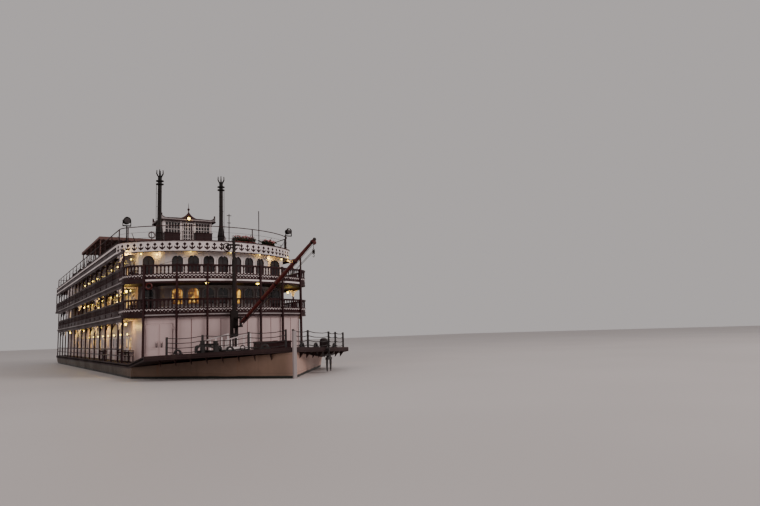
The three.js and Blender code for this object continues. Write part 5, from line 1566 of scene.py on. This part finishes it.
def cleat():
    """A two-horned cleat on a foot plate."""
    return merged([stub(0, 0, 0.22, 0.07, 0, 0.03),
                   *(stub(x, 0, 0.025, 0.05, 0.02, 0.12) for x in (-0.055, 0.055)),
                   pipe([(-0.26, 0, 0.16), (-0.12, 0, 0.13), (0.12, 0, 0.13), (0.26, 0, 0.16)], 0.035, 8)])


def fairlead():
    """An arched lead with a round eye, as on a working bow."""
    turns = [math.pi * i / 8 for i in range(9)]
    outer = [(0.26 * math.cos(t), 0.05 + 0.26 * math.sin(t)) for t in turns]
    inner = [(0.14 * math.cos(t), 0.06 + 0.14 * math.sin(t)) for t in turns]
    arc = plate([*outer, (-0.26, 0), (0.26, 0)], 0.12, [*inner, (-0.14, 0.03), (0.14, 0.03)])
    return merged([put(arc, TO_PORT), stub(0, 0, 0.34, 0.1, 0, 0.035)])


def add_foredeck():
    """Fairleads, cleats, knees under the overhang and the strake along the edge."""
    leads = [bow(s, 0.35, 0.003, side) for s in (1.9, 4.2, 7.7) for side in SIDES]
    dress(copies(fairlead(), leads), STEEL, "fairleads", smooth=40)
    cleats = [bow(2.9, 0.9, 0.003, side) for side in SIDES]
    cleats += [at(x, side * 6.95, MAIN_DECK + 0.003) for x in (-4, -16, 8) for side in SIDES]
    dress(copies(cleat(), cleats), STEEL, "cleats", smooth=40)
    strakes, low = [], 0.15
    for side in SIDES:
        y = side * (HALF_BEAM - 0.025)
        ends = [bow(s, -0.002, -low, side).translation for s in (0.1, 9.7)]
        sheer_end = (SHEER_FROM, y, MAIN_DECK - low)
        strakes += [beam(*line, 0.05, 0.12) for line in
                    (ends, ((SHOULDER_X - 0.1, y, deck_height(SHOULDER_X) - low), sheer_end),
                     (sheer_end, (-27.0, y, MAIN_DECK - low)))]
    dress(soften(merged(strakes), 0.015), DECK, "rubbing_strake")
    knee = plate([(0, 0), (0.34, 0), (0.3, -0.06), (0, -0.42)], 0.03)
    spots = [bow(1.5 + 1.05 * i, 0.36, -0.302, side) @ at(0, 0, 0, math.pi) for i in range(8)
             for side in SIDES]
    dress(copies(knee, spots), DECK, "overhang_knees")


def add_stage_gear():
    """Treads on the landing stage."""
    treads = []
    for x in (24.65 + 0.25 * i for i in range(20)):
        top = deck_height(x) + 0.14 + 0.145
        treads.append(stub(x, -2.1, 0.03, 0.68, top - 0.005, top + 0.022))
    dress(treads, GREY, "stage_treads")


def add_hatch_gear():
    """Ribs and rims on the hatch lid, and dogs at its coaming."""
    top = deck_height(30.7) + 0.42 + 0.071
    ribs = [stub(29.14 + 0.22 * i, 0, 0.02, 0.96, top, top + 0.025) for i in range(8)]
    rims = [stub(29.9, y, 0.82, 0.03, top, top + 0.03) for y in (-0.98, 0.98)]
    dress(soften(merged(ribs + rims), 0.006), MAROON, "hatch_lid_ribs", "hatch_lid")
    dogs = [stub(x, side * 1.03, 0.03, 0.03, top - 0.14, top - 0.03) for x in (29.5, 30.3) for side in SIDES]
    dress(dogs, STEEL, "hatch_dogs")


add_foredeck()
add_stage_gear()
add_hatch_gear()
print("bow fitted out")

# %% [markdown]
# The gear at the edge is heavy and plain: an arched frame that ropes run through, a roller beside it, an iron
# ring, a round-headed capstan to port and the broad flukes of the stowed anchor. All of it is painted dark.

# %% Edge gear
def arch_frame_block(wide, high, band, deep):
    """A heavy frame with an arched opening, open at its foot."""
    turns = [math.pi * i / 8 for i in range(9)]
    outer = [(wide / 2 * math.copysign(abs(math.cos(t)) ** 0.6, math.cos(t)) if i != 4 else 0,
              high * (0.55 + 0.45 * math.sin(t))) for i, t in enumerate(turns)]
    inner = [((wide / 2 - band) * math.cos(t), (high - band) * (0.45 + 0.55 * math.sin(t))) for t in turns]
    piece = plate([*outer, (-wide / 2, 0), (wide / 2, 0)], deep,
                  [*inner, (-wide / 2 + band, 0.02), (wide / 2 - band, 0.02)])
    return put(piece, TO_PORT)


def add_edge_gear():
    """The arched frame with its cross beam, the roller between its cheeks, and the ring, all to starboard."""
    arched = put(soften(arch_frame_block(0.66, 0.5, 0.14, 0.2), 0.02), bow(6.15, 0.25, 0.003, -1))
    here = bow(5.75, 0.25, 0.003, -1)
    cross = beam(here @ Vector((0.1, 0, 0.42)), here @ Vector((-0.55, 0, 0.3)), 0.1, 0.1)
    roller = turned([(0, -0.22), (0.17, -0.22), (0.17, -0.19), (0.13, -0.17), (0.13, 0.17), (0.17, 0.19),
                     (0.17, 0.22), (0, 0.22)], 16)
    put(roller, bow(5.0, 0.4, 0.2, -1) @ ACROSS)
    cheek = plate([(-0.18, 0), (0.18, 0), (0.09, 0.28), (-0.09, 0.28)], 0.03)
    cheeks = copies(cheek, [bow(5.0, 0.4 + y, 0.003, -1) @ TO_PORT for y in (-0.25, 0.25)])
    ring = pipe([(0.15 * math.cos(t), 0, 0.15 + 0.15 * math.sin(t))
                 for t in (2 * math.pi * i / 16 for i in range(17))], 0.035, 8)
    put(ring, bow(3.35, 0.3, 0.003, -1))
    dress([arched, cross, roller, cheeks, ring], STEEL, "edge_gear", smooth=35)


def add_capstan_head():
    """The ribbed barrel and domed head of the capstan."""
    x, y = 27.0, 5.33
    low = deck_height(x) + 0.09
    barrel = turned([(radius, low + z) for radius, z in
                     ((0.285, 0), (0.3, 0.05), (0.3, 0.42), (0.285, 0.52), (0.22, 0.62), (0.125, 0.66),
                      (0.125, 0.64), (0.27, 0.5))], 18)
    ribs = [stub(x + 0.305 * math.cos(a), y + 0.305 * math.sin(a), 0.02, 0.02, low + 0.04, low + 0.44)
            for a in (math.pi * i / 4 for i in range(8))]
    dress([shift(barrel, x, y), *ribs], CAPSTAN, "capstan_head", smooth=40)


def add_anchor_flukes():
    """Leaf-shaped palms on the two flukes, the crown between them and three links of its chain."""
    crown, tips = 2.23, 1.38
    leaf = [(0, tips - 0.12), (0.09, tips + 0.12), (0.15, tips + 0.5), (0.13, crown - 0.1), (0, crown - 0.02),
            (-0.13, crown - 0.1), (-0.15, tips + 0.5), (-0.09, tips + 0.12)]
    palms = [shift(put(plate(leaf, 0.075), TO_PORT), side * 0.33) for side in SIDES]
    head = stub(0, 0, 0.2, 0.11, crown - 0.14, crown + 0.1)
    links = [pipe([(0.05 * math.cos(t) * (i % 2), 0.05 * math.cos(t) * (1 - i % 2),
                    crown + 0.24 + 0.1 * i + 0.065 * math.sin(t))
                   for t in (math.pi * k / 4 for k in range(9))], 0.014, 5) for i in range(3)]
    place = bow(5.15, -0.2)
    place.translation.z = 0
    dress(put(merged([soften(merged(palms), 0.02), soften(head, 0.03), *links]), place), STEEL,
          "anchor_palms")


add_edge_gear()
add_capstan_head()
add_anchor_flukes()
print("edge gear placed")

# %% [markdown]
# ## The main house and what stands on the decks
# The house front is made of flat bays with a joint up the middle of each. The fore doors have framed panels,
# which ride on the doors. Tables and chairs stand on the side decks and under the awning.

# %% House front and doors
WALL_FRONT, WALL_RADIUS = 22.64, 11.44
DOOR_JAMB, DOOR_FOOT, DOOR_HEAD = 0.22, MAIN_DECK + 0.165, MAIN_DECK + 2.775


def bay_corner(i):
    """The house corner at a front post, from starboard to port."""
    y = (i - (POST_COUNT - 1) / 2) * POST_PITCH
    return Vector((WALL_FRONT - WALL_RADIUS + math.sqrt(WALL_RADIUS ** 2 - y ** 2), y, 0))


def bay(i):
    """A frame on a bay of the front and the bay's width: X along the wall to port, Y into the house."""
    start, along = bay_corner(i), bay_corner(i + 1) - bay_corner(i)
    return at(start.x, start.y, 0, math.atan2(along.y, along.x)), along.length


def add_house_front():
    """A joint, a skirting and a top rail in each bay. The fore doors stand in the first bay."""
    joints, rails = [], []
    for i in range(POST_COUNT - 1):
        place, wide = bay(i)
        low = deck_height(bay_corner(i).x) + 0.05
        pieces = [block((0.02, -0.03, low), (wide - 0.02 if i else 0.2, 0, low + 0.1)),
                  block((0.02, -0.035, 5.3), (wide - 0.02, 0, 5.46))]
        rails += [put(piece, place) for piece in pieces]
        if i:
            joints.append(put(block((wide / 2 - 0.018, -0.012, low), (wide / 2 + 0.018, 0, 5.3)), place))
    dress(joints, BOOM_RED, "front_joints")
    dress(soften(merged(rails), 0.006), PANEL, "front_skirting")


def add_fore_doors():
    """Framed panels and black handles on both fore doors."""
    place, wide = bay(0)
    middle, face = wide / 2, -0.06
    doors = (("outer_fore_door", DOOR_JAMB + 0.03, middle - 0.03, middle - 0.18),
             ("inner_fore_door", middle + 0.03, wide - DOOR_JAMB - 0.03, middle + 0.18))
    for body, left, right, handle in doors:
        strips = []
        for low, high in ((DOOR_FOOT + 0.06, DOOR_FOOT + 0.8), (DOOR_FOOT + 0.9, DOOR_HEAD - 0.06)):
            edges = ((left, right, low, low + 0.05), (left, right, high - 0.05, high),
                     (left, left + 0.05, low + 0.05, high - 0.05),
                     (right - 0.05, right, low + 0.05, high - 0.05))
            strips += [block((x0, face - 0.014, z0), (x1, face, z1)) for x0, x1, z0, z1 in edges]
        dress(put(merged(strips), place), PANEL, f"{body}_panels", body)
        lock = merged([block((handle - 0.06, face - 0.02, 3.28), (handle + 0.06, face, 3.62)),
                       rod((handle, face - 0.12, 3.33), (handle, face - 0.12, 3.57), 0.025),
                       *(rod((handle, face, z), (handle, face - 0.12, z), 0.018, 6) for z in (3.35, 3.55))])
        dress(put(lock, place), STEEL, f"{body}_handle", body)


def add_dado():
    """Pale boards below the sills of deck 2, which show between its balusters."""
    end, pitch = HOUSE.side_start - 0.2, 0.3
    boards = HOUSE.strip(-end, end, oblong(0, 0.035, DECK_2 + 0.17, DECK_2 + 0.65))
    line = [HOUSE.place(-end + pitch + pitch * i, DECK_2, 0.035)
            for i in range(int((2 * end - pitch) / pitch))]
    dress([boards, copies(block((0, -0.015, 0.18), (0.012, 0.015, 0.64)), line)], WHITE, "deck_2_dado")


add_house_front()
add_fore_doors()
add_dado()
print("house front panelled")

# %% [markdown]
# The chairs and tables are plain and slatted. Seen from the bow they are small, so one chair and one table
# serve all the decks.

# %% Chairs and tables
def chair():
    """A slatted chair that looks along X."""
    legs = [beam((x, y, 0), (x * 0.9, y * 0.95, 0.44), 0.035) for x in (-0.19, 0.19) for y in (-0.19, 0.19)]
    seat = [block((-0.22, y - 0.04, 0.44), (0.22, y + 0.04, 0.465)) for y in (-0.18, -0.09, 0, 0.09, 0.18)]
    back = [beam((-0.2, y, 0.44), (-0.27, y, 0.9), 0.03) for y in (-0.19, 0.19)]
    slats = [beam((x, -0.19, z), (x, 0.19, z), 0.02, 0.06)
             for x, z in ((-0.22 - 0.05 * i / 3, 0.56 + 0.1 * i) for i in range(4))]
    return merged([*legs, *seat, *back, *slats])


def table():
    """A round table on one leg."""
    top = turned([(0, 0.7), (0.34, 0.71), (0.36, 0.73), (0.34, 0.75), (0, 0.75)], 18)
    leg = turned([(0.22, 0), (0.2, 0.03), (0.04, 0.06), (0.03, 0.4), (0.05, 0.7), (0, 0.7)], 12)
    return merged([top, leg])


def seating():
    """Where the tables stand. Each has a chair on two sides."""
    places = [(18.6, 6.85, MAIN_DECK), (15.7, 6.85, MAIN_DECK), (7.1, 6.85, MAIN_DECK)]
    places += [(18.4, 6.6, floor) for floor in (DECK_2, DECK_3)]
    places += [(x, 6.78, DECK_3) for x in (12.8, 4.0, -4.9)]
    places += [(x, 6.78, DECK_2) for x in (9.8, 1.0)]
    places += [(x, y, SUN_DECK) for x in (-1.6, -5.6, -9.6) for y in (2.2, 5.0)]
    return [(x, side * y, z + 0.003) for x, y, z in places for side in SIDES]


def add_seating():
    """Chairs and tables on the side decks and under the awning, and chests at the sun deck's rail."""
    spots = seating()
    dress(copies(table(), [at(*p) for p in spots]), DECK, "tables", smooth=40)
    seats = [at(x - 0.62, y, z) for x, y, z in spots] + [at(x + 0.62, y, z, math.pi) for x, y, z in spots]
    dress(copies(chair(), seats), DECK, "chairs")
    chests = [at(x, side * 6.72, SUN_DECK + 0.003, math.pi / 2) for x in (-2.6, -10.0, -14.6)
              for side in SIDES]
    dress(copies(locker(2.6, 0.6, 0.75), chests), DECK, "rail_chests")


def add_rail_braces():
    """Diagonal braces in the side bays of the sun-deck rail."""
    first, step = SUN.fillet_x - 0.1, (SUN.fillet_x - 0.1 + 30.3 - 0.06) / 14
    braces = []
    for k in range(1, 14):
        x = first - step * k
        braces += [rod((x, side * 7.22, 12.72), (x - 0.9, side * 7.22, SUN_DECK + 0.06), 0.022, 6)
                   for side in SIDES]
    dress(braces, MAROON, "rail_braces")


def add_deck_rings():
    """Ring buoys on stands at either side of the pilothouse."""
    x, rings, stands = 9.7, [], []
    for y in (-3.35, 3.35):
        ring = turned([(0.2, 0), (0.27, 0.06), (0.34, 0), (0.27, -0.06), (0.2, 0)], 24)
        rings.append(put(ring, at(x + 0.1, y, 13.47) @ AHEAD))
        stands.append(rod((x, y, SUN_DECK + 0.003), (x, y, 13.85), 0.03))
    dress(rings, GREY, "deck_rings", smooth=60)
    dress(stands, STEEL, "ring_stands", smooth=40)


add_seating()
add_rail_braces()
add_deck_rings()
print("decks furnished")

# %% [markdown]
# ## Stern, wheel and awning
# Iron straps hold each float board to the wheel's frames, and bolted flanges hold the frames to the shaft.
# These pieces ride on the wheel. The bearing caps and the bands of the arms stay with the ship.

# %% Paddle wheel ironwork
WHEEL_PLACE = Matrix.Translation((-30.5, 0, 3.62))
FRAME_YS, FLOAT_COUNT, FLOAT_HALF = (-4.2, 0, 4.2), 12, 4.4


def about_wheel(i, y=0):
    """A frame at the shaft turned to float board number i."""
    return WHEEL_PLACE @ Matrix.Rotation(2 * math.pi * i / FLOAT_COUNT, 4, "Y") @ at(0, y, 0)


def add_wheel_iron():
    """Straps, bolts, hub flanges, batten boards and end caps of the paddle wheel."""
    strap = merged([*(stub(x, 0, 0.04, 0.13, -0.06, 0.06) for x in (2.2, 2.48)),
                    *(rod((x, y, -0.09), (x, y, 0.09), 0.025, 6) for y in (0.1, -0.1) for x in (2.2, 2.48))])
    straps = copies(strap, [about_wheel(i, y) for i in range(FLOAT_COUNT) for y in FRAME_YS])
    flange = [turned([(0, -0.13), (0.5, -0.13), (0.52, -0.1), (0.52, 0.1), (0.5, 0.13), (0, 0.13)], 24)]
    flange += [shift(rod((0, 0, -0.16), (0, 0, 0.16), 0.03, 6), 0.4 * math.cos(a), 0.4 * math.sin(a))
               for a in (math.pi * i / 6 for i in range(12))]
    flanges = copies(merged(flange), [WHEEL_PLACE @ at(0, y, 0) @ ACROSS for y in FRAME_YS])
    dress([straps, flanges], STEEL, "wheel_iron", "wheel", smooth=35)
    batten = soften(block((2.13, -0.07, -0.062), (2.96, 0.07, 0.062)), 0.012)
    battens = copies(batten, [about_wheel(i, y) for i in range(FLOAT_COUNT) for y in (-2.8, -1.4, 1.4, 2.8)])
    caps = copies(block((2.94, -FLOAT_HALF, -0.05), (2.99, FLOAT_HALF, 0.05)),
                  [about_wheel(i) for i in range(FLOAT_COUNT)])
    dress([battens, caps], WHEEL_RED, "wheel_battens", "wheel")


def add_arm_iron():
    """Bearing caps on the wheel arms, and bands round the arms and their posts."""
    parts = []
    for y in (-5.0, 5.0):
        cap = turned([(0.225, -0.28), (0.34, -0.28), (0.36, -0.25), (0.36, 0.25), (0.34, 0.28),
                      (0.225, 0.28)], 20)
        parts.append(put(cap, WHEEL_PLACE @ at(0, y, 0) @ ACROSS))
        parts += [soften(stub(x, y, 0.06, 0.262, low, high), 0.01)
                  for x, low, high in ((-27.6, 1.62, 2.96), (-28.6, 2.05, 3.35), (-29.5, 2.45, 3.7))]
        parts += [stub(-30.5, y, 0.14, 0.16, z - 0.05, z + 0.05) for z in (4.6, 6.0, 7.4)]
    dress(parts, STEEL, "arm_iron", smooth=35)


def add_rudder_straps():
    """Pintle straps on the three rudders."""
    for body, y in (("starboard_rudder", -3.6), ("middle_rudder", 0), ("port_rudder", 3.6)):
        straps = [shift(block((-1.0, -0.075, z - 0.04), (0.12, 0.075, z + 0.04)), -25.2, y)
                  for z in (0.24, 0.56)]
        dress(straps, STEEL, f"{body}_straps", body)


add_wheel_iron()
add_arm_iron()
add_rudder_straps()
print("wheel and rudders bound")

# %% [markdown]
# The after walls look out over the wheel. They get the same doors, windows and lamps as the sides. The two
# stairs get handrails.

# %% After walls and stairs
def add_after_walls():
    """Double doors with windows beside them on the after wall of each deck."""
    wall_x = -25.0
    frames, leaves, panes = [], [], []
    for floor, ys in ((MAIN_DECK, (2.3, 4.4)), (DECK_2, (2.4, 4.5)), (DECK_3, (2.4, 4.5))):
        for side in SIDES:
            groups = (frames, leaves, panes)
            for piece, group in zip(cabin_door(), groups):
                group.append(put(piece, at(wall_x, side * 0.45, floor, math.pi)))
            for y in ys:
                for piece, group in zip(cabin_window(), (frames, panes)):
                    group.append(put(piece, at(wall_x, side * y, floor, math.pi)))
    frames.append(block((wall_x - 0.09, -1.0, MAIN_DECK + 2.04), (wall_x + 0.04, 1.0, MAIN_DECK + 2.36)))
    dress(frames, TRIM_WHITE, "after_frames")
    dress(leaves, TRIM_WHITE, "after_doors")
    dress(panes, GLASS, "after_panes")
    lamps = [at(wall_x - 0.02, y, floor + 2.05, math.pi) for floor in (MAIN_DECK, DECK_2, DECK_3)
             for y in (-1.3, 1.3)]
    arm, globe = wall_lamp()
    dress(copies(arm, lamps), LAMP_CASE, "after_lamp_arms")
    dress(copies(globe, lamps), LAMP_GLOW, "after_lamp_globes", smooth=50)
    for floor in (MAIN_DECK, DECK_2):
        add_glow((wall_x - 0.5, 0, floor + 2.1), 4.0)


def add_stair_rails():
    """Handrails on the two after stairs."""
    rails = []
    for x in (-26.64, -25.76):
        line = [(x, -2.35, DECK_2 + 0.05), (x, -2.35, DECK_2 + 0.9), (x, -4.9, DECK_3 + 0.7)]
        rails += [pipe(line, 0.025), rod((x, -3.6, DECK_2 + 1.15), (x, -3.6, DECK_2 + 2.05), 0.02, 6)]
    for y in (3.16, 4.04):
        line = [(-29.35, y, DECK_3 + 0.05), (-29.35, y, DECK_3 + 0.9), (-26.5, y, SUN_DECK + 0.65)]
        rails += [pipe(line, 0.025), rod((-27.9, y, DECK_3 + 1.5), (-27.9, y, DECK_3 + 2.4), 0.02, 6)]
    dress(rails, MAROON, "stair_handrails", smooth=50)


add_after_walls()
add_stair_rails()
print("stern fitted out")

# %% [markdown]
# The awning is sewn from long strips of canvas, and a scalloped valance hangs from its edge. The searchlights
# need a rim and a lens, or they look like plain drums.

# %% Awning and searchlights
AWNING_AFT, AWNING_FORE, AWNING_HALF, AWNING_TOP = -11.5, 1.33, 6.6, 14.42


def valance(length, drop=0.2, scallop=0.41):
    """A hanging strip whose lower edge is scalloped, in the Y-Z plane below zero."""
    count = max(1, round(length / scallop))
    points = [(length / 2, 0), (-length / 2, 0)]
    for i in range(count):
        start = -length / 2 + length * i / count
        points += [(start + length / count * t, -drop * (0.6 + 0.4 * math.sin(math.pi * t)))
                   for t in (0, 0.25, 0.5, 0.75)]
    return plate([*points, (length / 2, -drop * 0.6)], 0.025)


def add_awning_trim():
    """The valance, the seams of the canvas, and braces and feet at the posts."""
    foot, strip_count = AWNING_TOP - 0.12, 13
    middle, half = (AWNING_FORE + AWNING_AFT) / 2, (AWNING_FORE - AWNING_AFT) / 2
    edges = [(at(x, 0, foot), 2 * AWNING_HALF) for x in (AWNING_FORE + 0.014, AWNING_AFT - 0.014)]
    edges += [(at(middle, y, foot, math.pi / 2), 2 * half)
              for y in (AWNING_HALF + 0.014, -AWNING_HALF - 0.014)]
    dress([put(valance(length), place) for place, length in edges], CANVAS, "awning_valance")
    seams = [stub(middle, -AWNING_HALF + 2 * AWNING_HALF * i / strip_count, half, 0.03,
                  AWNING_TOP - 0.002, AWNING_TOP + 0.012) for i in range(1, strip_count)]
    seams += [stub(x, 0, 0.05, AWNING_HALF, AWNING_TOP - 0.001, AWNING_TOP + 0.02)
              for x in (AWNING_AFT + 0.06, AWNING_FORE - 0.06)]
    dress(seams, CANVAS, "awning_seams")
    braces = []
    for i in range(5):
        x = AWNING_AFT + 0.15 + (AWNING_FORE - AWNING_AFT - 0.3) * i / 4
        for side in SIDES:
            y = side * 6.45
            braces.append(rod((x, y, 13.5), (x, side * 5.7, AWNING_TOP - 0.25), 0.025, 6))
            braces.append(rod((x, y, SUN_DECK + 0.003), (x, y, SUN_DECK + 0.06), 0.12, 10))
            if i < 4:
                braces.append(rod((x, y, 13.6), (x + 0.75, y, AWNING_TOP - 0.15), 0.025, 6))
    dress(braces, BOOM_RED, "awning_braces", smooth=40)


def add_searchlight_fittings():
    """A rim, a back, two bands, a vent, a grip and a lens for each searchlight."""
    rims, lenses = [], []
    for x, y, z, r in ((16.0, -6.67, 13.52, 0.27), (16.9, 7.17, 13.32, 0.24)):
        place = at(x, y, z) @ AHEAD
        profiles = [[(r - 0.03, 0.14), (r + 0.02, 0.14), (r + 0.025, 0.18), (r, 0.21), (r - 0.03, 0.2)],
                    [(0, -0.36), (r * 0.6, -0.34), (r * 0.98, -0.28), (r * 0.98, -0.25), (0, -0.25)]]
        profiles += [[(r - 0.01, h - 0.02), (r + 0.01, h), (r - 0.01, h + 0.02)] for h in (-0.15, 0)]
        rims += [put(turned(profile, 20), place) for profile in profiles]
        vent = shift(block((-0.08, -0.07, r - 0.02), (0.06, 0.07, r + 0.07)), x - 0.08, y, z)
        grip = pipe([(x - out, y, z + up)
                     for out, up in ((0.34, 0.1), (0.46, 0.12), (0.46, -0.12), (0.34, -0.1))], 0.018)
        rims += [soften(vent, 0.012), grip]
        lens = turned([(r - 0.02, 0.165), (r * 0.6, 0.175), (0, 0.18), (0, 0.162), (r - 0.02, 0.16)], 20)
        lenses.append(put(lens, place))
    dress(rims, LAMP_CASE, "searchlight_rims", smooth=40)
    dress(lenses, GLASS, "searchlight_lenses", smooth=40)


add_awning_trim()
add_searchlight_fittings()
print("awning and searchlights trimmed")
